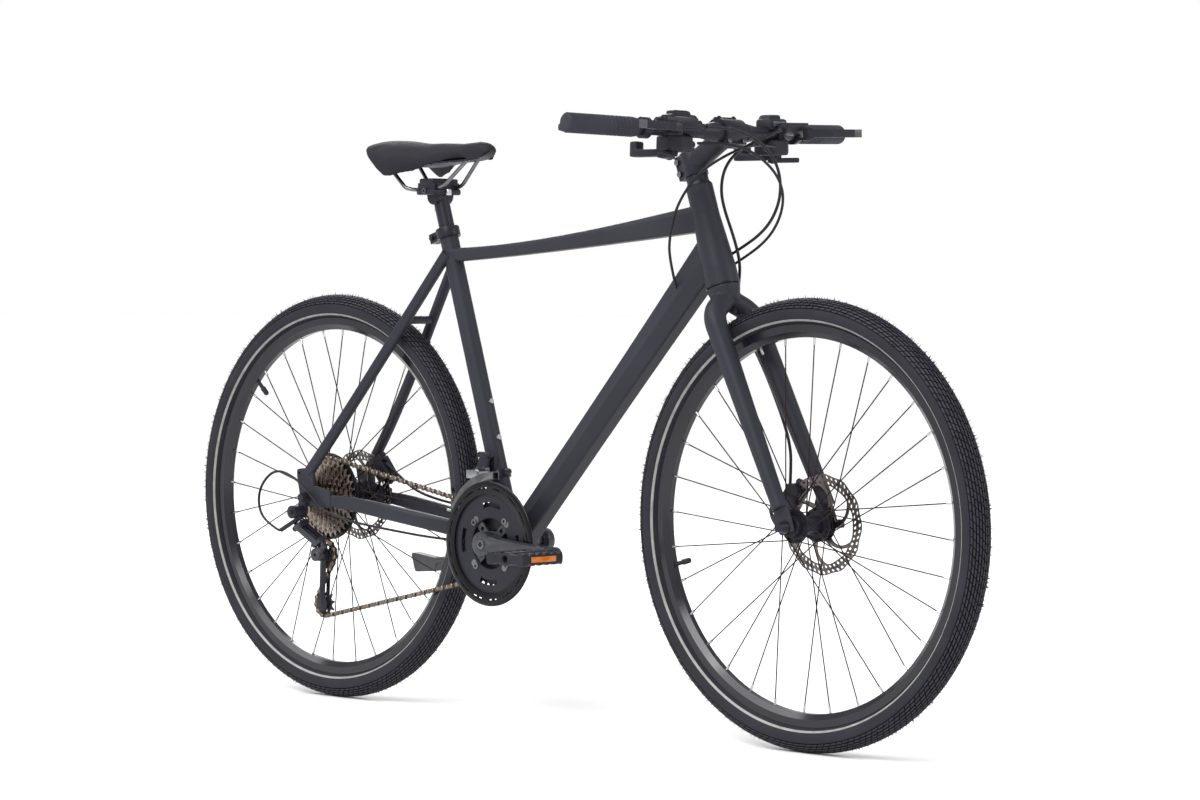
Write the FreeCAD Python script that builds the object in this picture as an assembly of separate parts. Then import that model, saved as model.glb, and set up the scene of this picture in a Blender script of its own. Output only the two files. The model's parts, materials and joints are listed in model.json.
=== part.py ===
# Hybrid bicycle with a rigid fork, disc brakes and a 3 by 9 derailleur drive, in millimetres.
# X points forward, Y to the rider's left and Z up. The origin is on the ground, midway between the axles.
import FreeCAD, Part
import math
import os

os.makedirs("parts", exist_ok=True)

# Overall layout
wheelbase = 1111.0
tyre_radius = 358.0
chainstay_length = 451.0
bracket_drop = 60.0
head_angle = 71.7
seat_angle = 72.7
fork_rake = 57.0
fork_length = 417.0
head_tube_length = 166.0
seat_tube_length = 555.0

# Clearances and cuts
overrun = 30.0
running_fit = 0.05
slide_fit = 0.2
seat_gap = 0.2
body_gap = 0.6

# Frame tubes
head_radius_top = 22.0
head_radius_bottom = 28.0
head_wall = 4.0
seat_tube_radius = 16.2
seatpost_radius = 13.6
shell_radius = 21.0
shell_width = 68.0
shell_bore = 17.2
tube_wall = 2.0
tube_corner = 5.0
top_tube_join_seat = 510.0
top_tube_join_head = 113.0
top_tube_arch = 7.0
top_tube_tall_seat = 24.0
top_tube_tall_middle = 24.0
top_tube_tall_head = 44.0
top_tube_wide_seat = 31.0
top_tube_wide_middle = 38.0
top_tube_wide_head = 42.0
down_tube_join_head = 57.0
down_tube_bracket_ahead = 9.0
down_tube_tall_bracket = 48.0
down_tube_tall_middle = 50.0
down_tube_tall_head = 62.0
down_tube_wide_bracket = 52.0
down_tube_wide_middle = 48.0
down_tube_wide_head = 46.0
top_section_shares = [(-1.0, -0.45), (-0.62, 1.0), (0.62, 1.0), (1.0, -0.45), (0.7, -1.0), (-0.7, -1.0)]
down_section_shares = [(-0.52, -1.0), (-1.0, 0.12), (-0.6, 1.0), (0.6, 1.0), (1.0, 0.12), (0.52, -1.0)]
seat_slot_width = 2.4
seat_slot_length = 42.0

# Rear triangle
hub_width_rear = 135.0
dropout_thick = 6.5
axle_slot = 10.4
stay_corner = 3.0
chainstay_root = 24.0
chainstay_root_side = 24.0
chainstay_pinch = 56.0
chainstay_pinch_side = 31.5
chainstay_pinch_wide = 11.0
chainstay_neck = 104.0
chainstay_neck_side = 38.5
chainstay_middle = 230.0
chainstay_middle_side = 53.0
chainstay_end = 44.0
chainstay_tall = 27.0
chainstay_tall_end = 19.0
chainstay_wide = 19.0
chainstay_neck_wide = 13.5
chainstay_end_wide = 13.0
chainstay_lift = 12.0
seatstay_top_drop = 42.0
seatstay_top_side = 13.0
seatstay_bridge_back = 84.0
seatstay_bridge_drop = 115.0
seatstay_bridge_side = 32.0
seatstay_middle_back = 100.0
seatstay_middle_up = 166.0
seatstay_middle_side = 56.0
seatstay_bend_back = 46.0
seatstay_bend_up = 98.0
seatstay_bend_side = 65.0
seatstay_end_up = 44.0
seatstay_wide = 15.0
seatstay_deep = 19.0
seatstay_end_wide = 13.0
bridge_radius = 7.0
hanger_back = 15.5
hanger_down = 26.0
hanger_radius = 11.0
hanger_bolt = 4.8
eyelet_back = 21.0
eyelet_up = 42.0
eyelet_bore = 2.5
eyelet_radius = 6.5
dropout_top = 51.0
dropout_front = 60.0
dropout_lip = 13.0

# Seat parts
collar_height = 17.0
collar_wall = 4.5
collar_ear = 17.0
collar_ear_width = 20.0
collar_bolt = 2.5
seatpost_inside = 230.0
seatpost_above = 62.0
post_head_radius = 15.0
post_head_width = 34.0
saddle_nose = -157.0
saddle_length = 268.0
saddle_top = 981.0
saddle_half_width = 76.0
saddle_depth = 46.0
saddle_base_thick = 3.0
saddle_base_inset = 5.0
rail_radius = 3.5
rail_spread = 22.0
clamp_thick = 7.0
clamp_length = 42.0

# Fork
steerer_radius = 14.3
steerer_wall = 2.3
crown_radius = 27.0
crown_height = 30.0
shoulder_side = 47.0
shoulder_drop = 51.0
shoulder_ahead = 6.0
shoulder_radius = 40.0
leg_radius_top = 18.0
leg_radius_bottom = 12.5
leg_bottom_side = 57.0
leg_bottom_up = 30.0
hub_width_front = 100.0
fork_tab_thick = 6.0
fork_tab_radius = 15.0
fork_eyelet_back = 20.0
fork_eyelet_up = 27.0

# Headset and stem
bearing_outer = 20.5
bearing_height = 7.0
cup_lip = 3.0
spacer_radius = 18.0
spacer_height = 18.0
stem_clamp_radius = 20.0
stem_clamp_height = 40.0
stem_length = 90.0
stem_rise = 15.0
stem_body_radius = 17.5
bar_clamp_radius = 21.5
bar_clamp_width = 46.0
faceplate_gap = 2.0
stem_bolt_radius = 2.5
stem_bolt_head = 4.4
stem_bolt_spread = 17.0
stem_bolt_offset = 21.0

# Handlebar and controls, for the left side, then mirrored
bar_half_width = 320.0
bar_bend_side = 80.0
bar_back_sweep = 11.0
bar_up_sweep = 1.7
bar_radius = 11.1
bar_centre_radius = 15.9
bar_wall = 2.4
bar_bend_radius = 110.0
bar_bulge_side = 36.0
bar_bulge_end = 66.0
grip_length = 130.0
grip_radius = 16.0
grip_cap = 3.5
grip_groove = 1.0
grip_wing = 17.0
grip_wing_thick = 11.0
grip_wing_length = 74.0
lever_clamp_at = 98.0
lever_clamp_width = 13.0
lever_clamp_radius = 17.0
cylinder_ahead = 31.0
cylinder_lift = 6.0
cylinder_radius = 10.5
cylinder_inner = 12.0
cylinder_outer = 92.0
lever_pivot_ahead = 46.0
lever_pivot_at = 66.0
lever_pivot_radius = 3.0
lever_tip_ahead = 86.0
lever_tip_at = 166.0
lever_blade_tall = 13.0
lever_blade_thick = 7.0
lever_ear = 4.0
shifter_clamp_at = 40.0
shifter_clamp_width = 11.0
pod_drop = 22.0
pod_length = 56.0
pod_depth = 46.0
pod_tall = 22.0
display_length = 42.0
display_depth = 30.0
display_tall = 17.0
thumb_back = 70.0
thumb_side = 16.0
thumb_pad = 19.0
thumb_width = 17.0
thumb_thick = 6.0
release_reach = 30.0

# Cables and hoses
hose_radius = 2.5
housing_radius = 2.3
arc_share = 0.45

# Wheels
tyre_width = 47.0
tyre_wall = 3.0
tread_thick = 5.5
bead_radius = 311.0
tube_wall_thick = 1.0
rim_width = 24.0
rim_lip = 6.0
rim_bed_radius = 296.0
rim_bed_half = 5.0
rim_wall = 1.8
spoke_count = 32
spoke_radius = 1.0
spoke_crossings = 3
elbow_gap = 1.2
nipple_radius = 2.0
nipple_length = 13.0
flange_circle = 22.5
flange_radius = 27.0
flange_thick = 3.0
hub_barrel = 14.0
hub_bore = 11.0
valve_radius = 3.6
valve_length = 38.0
valve_angle_front = 195.0
valve_angle_rear = 138.0
valve_bore = 1.3
front_flange_left = 20.0
front_flange_right = 32.0
rear_flange_left = 33.0
rear_flange_right = 16.5
protector_side = 22.5
protector_thick = 1.1
rotor_radius = 80.0
rotor_track = 16.0
rotor_thick = 1.8
rotor_hub = 24.0
rotor_bolt_circle = 18.5
rotor_bolt = 2.5
rotor_inset = 15.5
rotor_arms = 6
rotor_holes = 30
rotor_hole = 2.6
axle_radius = 5.0
skewer_radius = 2.5
locknut_radius = 9.0
locknut_thick = 4.0
skewer_nut_radius = 10.0
skewer_nut_length = 17.0
cam_length = 9.0
cam_radius = 8.5
skewer_lever_length = 58.0
skewer_lever_wide = 13.0
skewer_lever_thick = 5.0

# Chain and sprockets
pitch = 12.7
roller_radius = 3.9
pin_radius = 1.8
chain_inner_width = 2.7
link_plate = 0.9
plate_height = 8.2
plate_gap = 0.08
tooth_thick = 1.8
tooth_height = 3.4
tooth_tip_share = 0.16
seat_clearance = 0.15
cog_teeth = [34, 30, 26, 23, 20, 17, 15, 13, 11]
cog_spacing = 4.35
largest_cog_side = 26.2
freehub_radius = 17.0
spacer_ring = 20.0
ring_teeth = [48, 36, 26]
ring_side = [54.0, 47.5, 41.0]
ring_thick = 2.0
pulley_teeth = 11
guide_pulley_gap = 103.0
guide_pulley_back = 2.5
cage_length = 88.0
cage_angle_aim = -97.0
straight_links = 1.6

# Crank
crank_length = 170.0
crank_angle = -3.5
crank_inner = 63.5
crank_thick = 16.0
crank_boss = 21.0
crank_end = 14.5
spindle_radius = 8.5
spider_circle = 52.0
inner_circle = 32.0
spider_boss = 9.0
chain_bolt = 4.0
chain_bolt_head = 6.0
guard_radius = 105.5
guard_inner = 88.0
guard_thick = 2.5
guard_side = 58.5
guard_slots = 12
guard_slot_share = 0.62
guard_slot_half = 2.6
pedal_axle_radius = 6.0
pedal_inner = 94.0
pedal_width = 92.0
pedal_length = 88.0
pedal_thick = 21.0
pedal_bar = 15.0
pedal_barrel = 11.5

# Derailleurs
fd_height = 112.0
fd_band_height = 13.0
fd_band_wall = 3.5
fd_pivot_up = 54.0
fd_pivot_side = 28.0
fd_link_drop = 25.0
fd_link_out = 6.0
fd_link_thick = 5.0
fd_link_length = 20.0
fd_pin = 2.0
fd_cage_inner = 107.0
fd_cage_outer = 121.0
fd_cage_from = 92.0
fd_cage_to = 152.0
fd_web_to = 128.0
fd_plate = 1.4
fd_plate_inside = 32.2
fd_plate_outside = 46.0
knuckle_radius = 11.5
knuckle_length = 24.0
knuckle_start = 75.0
link_radius = 5.0
link_pin = 2.2
outer_link_top = (-6.5, -90.0, -51.0)
outer_link_end = (11.5, -62.0, -80.0)
shift_travel = 34.8
link_offset = 13.0
adjuster_reach = (-33.0, -11.0, -21.0)
cage_plate = 1.6
cage_outside = 6.8
pulley_bolt = 2.6
pulley_thick = 2.1

# Brakes
caliper_length = 44.0
caliper_width = 30.0
caliper_depth = 26.0
caliper_slot = 3.4
pad_thick = 0.5
pad_size = 20.0
caliper_bolt = 3.0
front_caliper_at = (-48.0, 58.0)
rear_caliper_at = (58.0, 49.0)
bottle_bolt_radius = 4.5
bottle_bolt_height = 3.5
bottle_spacing = 64.0
seat_bottle_at = 180.0
down_bottle_at = 228.0

# Kickstand, folded back along the left chainstay
stand_pivot_at = (-172.0, 30.0, 268.0)
stand_axis_shares = (-0.2, 1.0, 0.216)
stand_foot_at = (-392.0, 56.0, 246.0)
stand_shoe_outline = ((-417.0, 263.0), (-406.0, 228.0), (-352.0, 232.0), (-354.0, 256.0))
stand_shoe_thick = 22.0
stand_shoe_corner = 4.0
stand_leg_radius = 7.0
stand_knuckle_radius = 12.0
stand_knuckle_length = 18.0
stand_housing_length = 20.0
stand_pin = 4.0
stand_head_radius = 8.0
stand_head_thick = 4.0
stand_plate_corner = (-186.0, -35.0, 285.0)
stand_plate_size = (34.0, 80.0, 14.0)
stand_cap_corner = (-184.0, -33.0, 317.0)
stand_cap_size = (30.0, 66.0, 10.0)
stand_neck_corner = (-182.0, 6.0, 268.0)
stand_neck_size = (20.0, 16.0, 20.0)
stand_bolt_radius = 5.0
stand_bolt_head = 9.0


def vec(x, y, z):
    return FreeCAD.Vector(x, y, z)


origin = vec(0, 0, 0)
forward = vec(1, 0, 0)
sideways = vec(0, 1, 0)
upward = vec(0, 0, 1)

# Main points
rear_axle_at = vec(-wheelbase / 2, 0, tyre_radius)
front_axle_at = vec(wheelbase / 2, 0, tyre_radius)
bracket_run = math.sqrt(chainstay_length ** 2 - bracket_drop ** 2)
bracket_at = rear_axle_at + vec(bracket_run, 0, -bracket_drop)
seat_dir = vec(-math.cos(math.radians(seat_angle)), 0, math.sin(math.radians(seat_angle)))
seat_normal = vec(seat_dir.z, 0, -seat_dir.x)
steer_dir = vec(-math.cos(math.radians(head_angle)), 0, math.sin(math.radians(head_angle)))
steer_normal = vec(steer_dir.z, 0, -steer_dir.x)
steer_foot = front_axle_at - steer_normal * fork_rake
head_top = fork_length + head_tube_length
steer_place = FreeCAD.Placement(steer_foot, FreeCAD.Rotation(sideways, head_angle - 90))
hanger_at = rear_axle_at + vec(-hanger_back, 0, -hanger_down)
bar_drop = math.radians(stem_rise)
bar_local = vec(stem_length * math.cos(bar_drop), 0,
                head_top + spacer_height + stem_clamp_height / 2 + stem_length * math.sin(bar_drop))
bar_at = steer_place.multVec(bar_local)


def steer_point(height):
    return steer_foot + steer_dir * height


def seat_point(height):
    return bracket_at + seat_dir * height


def rod(start, end, radius):
    run = end - start
    return Part.makeCylinder(radius, run.Length, start, run)


def cone(start, end, radius_start, radius_end):
    run = end - start
    return Part.makeCone(radius_start, radius_end, run.Length, start, run)


def pipe(start, end, outer, inner):
    reach = (end - start).normalize() * overrun
    return rod(start, end, outer).cut(rod(start - reach, end + reach, inner))


def block(corner, size):
    return Part.makeBox(size.x, size.y, size.z, corner)


def turned(points, centre):
    # Ring about a line along Y through the centre; points are pairs of radius and side.
    corners = [centre + vec(radius, side, 0) for radius, side in points]
    face = Part.Face(Part.makePolygon(corners + [corners[0]]))
    return face.revolve(centre, sideways, 360)


def turned_upright(points):
    # Ring about Z through the origin; points are pairs of radius and height.
    corners = [vec(radius, 0, height) for radius, height in points]
    face = Part.Face(Part.makePolygon(corners + [corners[0]]))
    return face.revolve(origin, upward, 360)


def corner_arc(before, corner, after, radius):
    back = (before - corner).normalize()
    ahead = (after - corner).normalize()
    half = back.getAngle(ahead) / 2
    reach = radius / math.tan(half)
    middle = (back + ahead).normalize()
    centre = corner + middle * (radius / math.sin(half))
    return corner + back * reach, centre - middle * radius, corner + ahead * reach


def rounded_outline(points, radius):
    # Closed wire with every corner rounded by the same radius.
    count = len(points)
    arcs = [corner_arc(points[i - 1], points[i], points[(i + 1) % count], radius) for i in range(count)]
    edges = []
    for i in range(count):
        edges.append(Part.Arc(*arcs[i]).toShape())
        edges.append(Part.LineSegment(arcs[i][2], arcs[(i + 1) % count][0]).toShape())
    return Part.Wire(edges)


def plate(points, radius, side, thick):
    # Flat plate in the XZ plane with rounded corners, from one side along Y.
    wire = rounded_outline([vec(x, side, z) for x, z in points], radius)
    return Part.Face(wire).extrude(sideways * thick)


def route_path(points, radii):
    edges = []
    last = points[0]
    for i in range(1, len(points) - 1):
        start, middle, end = corner_arc(points[i - 1], points[i], points[i + 1], radii[i - 1])
        edges.append(Part.LineSegment(last, start).toShape())
        edges.append(Part.Arc(start, middle, end).toShape())
        last = end
    edges.append(Part.LineSegment(last, points[-1]).toShape())
    return Part.Wire(edges)


def sweep(path, radius, start, heading):
    section = Part.Wire(Part.makeCircle(radius, start, heading))
    return path.makePipeShell([section], True, False)


def largest_radii(points):
    radii = []
    for i in range(1, len(points) - 1):
        back = points[i - 1] - points[i]
        ahead = points[i + 1] - points[i]
        half = back.getAngle(ahead) / 2
        radii.append(arc_share * min(back.Length, ahead.Length) * math.tan(half))
    return radii


def cable(name, places, radius):
    points = [vec(*place) for place in places]
    radii = largest_radii(points)
    path = route_path(points, radii)
    solid = sweep(path, radius, points[0], points[1] - points[0])
    ratio = solid.Volume / (math.pi * radius ** 2 * path.Length)
    print(name, "length", round(path.Length), "least radius", round(min(radii)), "volume ratio", round(ratio, 3))
    return solid


def section(centre, along, wide, tall, shares, corner):
    # Closed section across a tube that runs in the XZ plane.
    up = along.cross(sideways).normalize() * -1
    points = [centre + sideways * (side * wide / 2) + up * (high * tall / 2) for side, high in shares]
    return rounded_outline(points, corner)


def hollow_loft(stations, shares, corner, wall):
    # Stations hold a centre, a direction, a width and a height.
    outer = [section(c, d, w, t, shares, corner) for c, d, w, t in stations]
    inner = [section(c, d, w - wall * 2, t - wall * 2, shares, corner - wall / 2) for c, d, w, t in stations]
    full = Part.makeLoft(outer, True, False)
    return full, full.cut(Part.makeLoft(inner, True, False))


def oval(centre, along, wide, tall):
    # Rounded section across a stay, upright in its own plane.
    along = along.normalize()
    side = upward.cross(along).normalize()
    up = along.cross(side)
    radius = min(wide, tall) / 2 - stay_corner / 2
    points = [centre + side * (a * wide / 2) + up * (b * tall / 2) for a, b in ((1, 1), (-1, 1), (-1, -1), (1, -1))]
    return rounded_outline(points, radius)


def hollow_stay(stations, wall):
    places = [station[0] for station in stations]
    outer = []
    inner = []
    for i, (centre, wide, tall) in enumerate(stations):
        along = places[min(i + 1, len(places) - 1)] - places[max(i - 1, 0)]
        outer.append(oval(centre, along, wide, tall))
        inner.append(oval(centre, along, wide - wall * 2, tall - wall * 2))
    full = Part.makeLoft(outer, True, False)
    if wall:
        return full.cut(Part.makeLoft(inner, True, False))
    return full


def mirrored(shape):
    return shape.mirror(origin, sideways)


def in_steer(shape):
    moved = shape.copy()
    moved.Placement = steer_place.multiply(moved.Placement)
    return moved


def biggest(shape):
    return max(shape.Solids, key=lambda solid: solid.Volume)


def ring_of(shape, centre, count, first=0.0):
    copies = []
    for i in range(count):
        copy = shape.copy()
        copy.rotate(centre, sideways, first + 360.0 * i / count)
        copies.append(copy)
    return copies


# Frame

def head_tube_solids():
    low = fork_length
    outline = [(0, low), (head_radius_bottom, low), (head_radius_bottom, low + head_tube_length * 0.16),
               (head_radius_top, head_top - head_tube_length * 0.3), (head_radius_top, head_top), (0, head_top)]
    full = in_steer(turned_upright(outline))
    bore = [(bearing_outer, low - overrun), (bearing_outer, low + head_tube_length / 4),
            (head_radius_top - head_wall, low + head_tube_length / 2),
            (head_radius_top - head_wall, head_top - bearing_height),
            (bearing_outer, head_top - bearing_height), (bearing_outer, head_top + overrun)]
    hole = in_steer(turned_upright([(0, low - overrun)] + bore + [(0, head_top + overrun)]))
    return full, full.cut(hole)


def top_tube_stations():
    rear = seat_point(top_tube_join_seat)
    front = steer_point(fork_length + top_tube_join_head)
    along = (front - rear).normalize()
    up = along.cross(sideways).normalize() * -1
    middle = rear + (front - rear) * 0.43 + up * top_tube_arch
    near = rear + (front - rear) * 0.76 + up * (top_tube_arch * 0.6)
    wide_near = (top_tube_wide_middle + top_tube_wide_head) / 2
    tall_near = (top_tube_tall_middle + top_tube_tall_head) / 2
    return [(rear, along, top_tube_wide_seat, top_tube_tall_seat),
            (middle, along, top_tube_wide_middle, top_tube_tall_middle),
            (near, along, wide_near, tall_near),
            (front, along, top_tube_wide_head, top_tube_tall_head)]


def down_tube_stations():
    front = steer_point(fork_length + down_tube_join_head)
    foot = bracket_at + forward * down_tube_bracket_ahead
    along = (front - foot).normalize()
    middle = (front + foot) / 2
    return [(foot, along, down_tube_wide_bracket, down_tube_tall_bracket),
            (middle, along, down_tube_wide_middle, down_tube_tall_middle),
            (front, along, down_tube_wide_head, down_tube_tall_head)]


def build_front_triangle():
    head_full, head_tube = head_tube_solids()
    half = sideways * (shell_width / 2)
    shell_full = rod(bracket_at - half, bracket_at + half, shell_radius)
    shell = pipe(bracket_at - half, bracket_at + half, shell_radius, shell_bore)
    seat_full = rod(bracket_at, seat_point(seat_tube_length), seat_tube_radius)
    bore = rod(seat_point(-overrun), seat_point(seat_tube_length + overrun), seatpost_radius + slide_fit)
    slot_at = seat_point(seat_tube_length - seat_slot_length)
    slot = rod(slot_at, slot_at - seat_normal * overrun, seat_slot_width / 2)
    slot_long = block(vec(-overrun, -seat_slot_width / 2, 0), vec(overrun, seat_slot_width, seat_slot_length * 2))
    slot_long.Placement = FreeCAD.Placement(slot_at, FreeCAD.Rotation(sideways, seat_angle - 90))
    seat_tube = seat_full.cut(bore).cut(shell_full).cut(slot).cut(slot_long)
    top_full, top_tube = hollow_loft(top_tube_stations(), top_section_shares, tube_corner, tube_wall)
    down_full, down_tube = hollow_loft(down_tube_stations(), down_section_shares, tube_corner, tube_wall)
    top_tube = biggest(top_tube.cut(seat_full).cut(head_full))
    down_tube = biggest(down_tube.cut(shell_full).cut(head_full).cut(seat_full))
    cup = sideways * (shell_width / 2 + head_wall + body_gap)
    filled = {"cups": rod(bracket_at - cup, bracket_at + cup, shell_radius), "head": head_full, "shell": shell_full, "seat": seat_full, "top": top_full, "down": down_full}
    return Part.makeCompound([head_tube, top_tube, down_tube, biggest(seat_tube), shell]), filled


def chainstay(side):
    lift = vec(0, 0, chainstay_lift)
    run = bracket_at - rear_axle_at
    level = vec(1, 0, run.z / run.x)
    stations = [
        (bracket_at + vec(-chainstay_root * 0.5, chainstay_root_side * side, 0), chainstay_wide, chainstay_tall),
        (bracket_at - level * chainstay_pinch + lift * 0.3 + sideways * (chainstay_pinch_side * side),
         chainstay_pinch_wide, chainstay_tall),
        (bracket_at - level * chainstay_neck + lift * 0.5 + sideways * (chainstay_neck_side * side),
         chainstay_neck_wide, chainstay_tall),
        (bracket_at - level * chainstay_middle + lift * 0.6 + sideways * (chainstay_middle_side * side),
         chainstay_wide, chainstay_tall),
        (rear_axle_at + level * chainstay_end + lift * 0.2 + sideways * (dropout_middle() * side),
         chainstay_end_wide, chainstay_tall_end),
    ]
    return hollow_stay(stations, 0)


def dropout_middle():
    return hub_width_rear / 2 + dropout_thick / 2


def seatstay(side):
    top = seat_point(seat_tube_length - seatstay_top_drop)
    bridge = top + vec(-seatstay_bridge_back, 0, -seatstay_bridge_drop)
    stations = [
        (top + sideways * (seatstay_top_side * side), seatstay_wide, seatstay_deep),
        (bridge + sideways * (seatstay_bridge_side * side), seatstay_wide, seatstay_deep),
        (rear_axle_at + vec(seatstay_middle_back, seatstay_middle_side * side, seatstay_middle_up),
         seatstay_wide, seatstay_deep),
        (rear_axle_at + vec(seatstay_bend_back, seatstay_bend_side * side, seatstay_bend_up),
         seatstay_wide, seatstay_deep),
        (rear_axle_at + vec(0, dropout_middle() * side, seatstay_end_up), seatstay_end_wide, seatstay_deep),
    ]
    return hollow_stay(stations, tube_wall), bridge


def dropout(side):
    # Forged plate with a slot for the axle, open at the bottom, and an eyelet behind.
    back = eyelet_back + eyelet_radius
    low = -axle_slot
    front_low = -(dropout_lip + stay_corner)
    outline = [(-back, eyelet_up - eyelet_radius), (-back, eyelet_up + eyelet_radius), (-dropout_lip, dropout_top),
               (dropout_lip, dropout_top), (dropout_lip * 1.2, dropout_lip * 1.6), (dropout_front, dropout_lip),
               (dropout_front, front_low), (dropout_lip, front_low), (-dropout_lip, low), (-dropout_lip * 1.5, 0)]
    start = min(side * hub_width_rear / 2, side * (hub_width_rear / 2 + dropout_thick))
    points = [(rear_axle_at.x + x, rear_axle_at.z + z) for x, z in outline]
    body = plate(points, stay_corner, start, dropout_thick)
    if side < 0:
        arm = [(-hanger_back - hanger_radius, hanger_radius / 2 - hanger_down),
               (-dropout_lip * 1.4, dropout_lip), (-axle_slot / 2, dropout_lip / 2), (-axle_slot / 2, -hanger_down),
               (-hanger_back + hanger_radius * 0.6, -hanger_down - hanger_radius),
               (-hanger_back - hanger_radius * 0.6, -hanger_down - hanger_radius)]
        points = [(rear_axle_at.x + x, rear_axle_at.z + z) for x, z in arm]
        body = body.fuse(plate(points, stay_corner, start, dropout_thick))
    through = sideways * (start - overrun)
    if side < 0:
        bolt = hanger_at + through
        body = body.cut(rod(bolt, bolt + sideways * (overrun * 3), hanger_bolt))
    eye = rear_axle_at + vec(-eyelet_back, 0, eyelet_up) + through
    body = body.cut(rod(eye, eye + sideways * (dropout_thick + overrun * 2), eyelet_bore))
    slot = block(rear_axle_at + vec(-axle_slot / 2, start - overrun, -overrun * 2),
                 vec(axle_slot, dropout_thick + overrun * 2, overrun * 2))
    round_end = rod(rear_axle_at + through, rear_axle_at + through + sideways * (overrun * 3), axle_slot / 2)
    return body.cut(slot).cut(round_end).removeSplitter()


def build_rear_triangle(filled):
    solids = []
    bridge_ends = []
    for side in (-1, 1):
        drop = dropout(side)
        stay, bridge = seatstay(side)
        stay = biggest(stay.cut(filled["seat"]).cut(filled["top"]).cut(drop))
        lower = biggest(chainstay(side).cut(filled["cups"]).cut(filled["seat"]).cut(filled["down"]).cut(drop))
        solids += [stay, lower, drop]
        bridge_ends.append(bridge + sideways * (seatstay_bridge_side * side))
    bar = rod(bridge_ends[0], bridge_ends[1], bridge_radius)
    for stay in (solids[0], solids[3]):
        bar = biggest(bar.cut(stay))
    tab = rear_axle_at + vec(rear_caliper_at[0], hub_width_rear / 2 - rotor_inset, rear_caliper_at[1])
    return Part.makeCompound(solids + [bar]), tab


def build_seat_clamp():
    low = seat_point(seat_tube_length - collar_height * 0.8)
    high = seat_point(seat_tube_length + collar_height * 0.2)
    outer = seat_tube_radius + collar_wall
    ring = rod(low, high, outer)
    ear = block(vec(-outer - collar_ear, -collar_ear_width / 2, 0),
                vec(outer + collar_ear, collar_ear_width, collar_height))
    ear.Placement = FreeCAD.Placement(low, FreeCAD.Rotation(sideways, seat_angle - 90))
    slot = block(vec(-outer - collar_ear - overrun, -seat_slot_width / 2, -overrun),
                 vec(outer + collar_ear + overrun, seat_slot_width, collar_height + overrun * 2))
    slot.Placement = ear.Placement
    body = ring.fuse(ear).cut(slot)
    body = body.cut(rod(seat_point(seat_tube_length - overrun), seat_point(seat_tube_length), seat_tube_radius))
    body = body.cut(rod(seat_point(0), seat_point(seat_tube_length + overrun), seatpost_radius + slide_fit))
    centre = low + seat_dir * (collar_height / 2) - seat_normal * (outer + collar_ear * 0.55)
    half = sideways * (collar_ear_width / 2)
    hole = rod(centre - half * 2, centre + half * 2, collar_bolt)
    head = sideways * (collar_bolt * 2)
    bolt = rod(centre - half, centre + half, collar_bolt)
    bolt = bolt.fuse(rod(centre - half - head, centre - half, collar_bolt * 1.7))
    return Part.makeCompound([body.cut(hole).removeSplitter(), bolt])


def build_headset():
    # Two cartridge bearings pressed into the ends of the head tube, with a cup lip under the lower one.
    inner = steerer_radius + running_fit
    pieces = []
    for low in (fork_length, head_top - bearing_height):
        pieces.append(turned_upright([(inner, low), (bearing_outer, low), (bearing_outer, low + bearing_height),
                                      (inner, low + bearing_height)]))
    lip = [(inner + cup_lip, fork_length - cup_lip), (head_radius_bottom, fork_length - cup_lip),
           (head_radius_bottom, fork_length), (inner + cup_lip, fork_length)]
    pieces.append(turned_upright(lip))
    return Part.makeCompound([in_steer(piece) for piece in pieces])


def build_bottom_bracket():
    half = shell_width / 2
    inner = spindle_radius + running_fit
    lip = head_wall
    pieces = [turned([(inner, -half * 0.5), (shell_bore, -half * 0.5), (shell_bore, half * 0.5),
                      (inner, half * 0.5)], bracket_at)]
    for side in (-1, 1):
        cup = [(inner, side * half * 0.5), (shell_bore, side * half * 0.5), (shell_bore, side * half),
               (shell_radius - lip / 4, side * half), (shell_radius - lip / 4, side * (half + lip)),
               (inner, side * (half + lip))]
        pieces.append(turned(cup, bracket_at))
    return Part.makeCompound(pieces)


# Seatpost and saddle

def saddle_bolt():
    top = seat_point(seat_tube_length + seatpost_above) + seat_dir * post_head_radius
    middle = top - seat_normal * (clamp_length * 0.36)
    shank = rod(middle - seat_dir * (post_head_radius * 2.2), middle + seat_dir * clamp_thick, collar_bolt)
    head = rod(middle - seat_dir * (post_head_radius * 2.5), middle - seat_dir * (post_head_radius * 2.2), collar_bolt * 1.7)
    return shank.fuse(head)


def build_seatpost():
    low = seat_point(seat_tube_length - seatpost_inside)
    top = seat_point(seat_tube_length + seatpost_above)
    post = rod(low, top, seatpost_radius)
    half = sideways * (post_head_width / 2)
    head = rod(top - half, top + half, post_head_radius)
    bore = rod(low - seat_dir * overrun, top - seat_dir * (post_head_radius * 1.5), seatpost_radius - tube_wall)
    notch = rod(top - half * 2 + seat_dir * post_head_radius, top + half * 2 + seat_dir * post_head_radius, clamp_thick)
    return biggest(post.fuse(head).cut(bore).cut(notch).cut(saddle_bolt()).removeSplitter())


saddle_stations_shares = [
    # along the length, half width, height of the crown below the top, depth of the sides
    (0.0, 0.13, 0.30, 0.36), (0.05, 0.24, 0.06, 0.56), (0.18, 0.29, 0.01, 0.70), (0.36, 0.36, 0.04, 0.76),
    (0.54, 0.58, 0.07, 0.86), (0.72, 0.90, 0.06, 0.98), (0.86, 1.0, 0.02, 0.90), (0.96, 0.90, 0.06, 0.60),
    (1.0, 0.66, 0.18, 0.40)]


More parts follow.
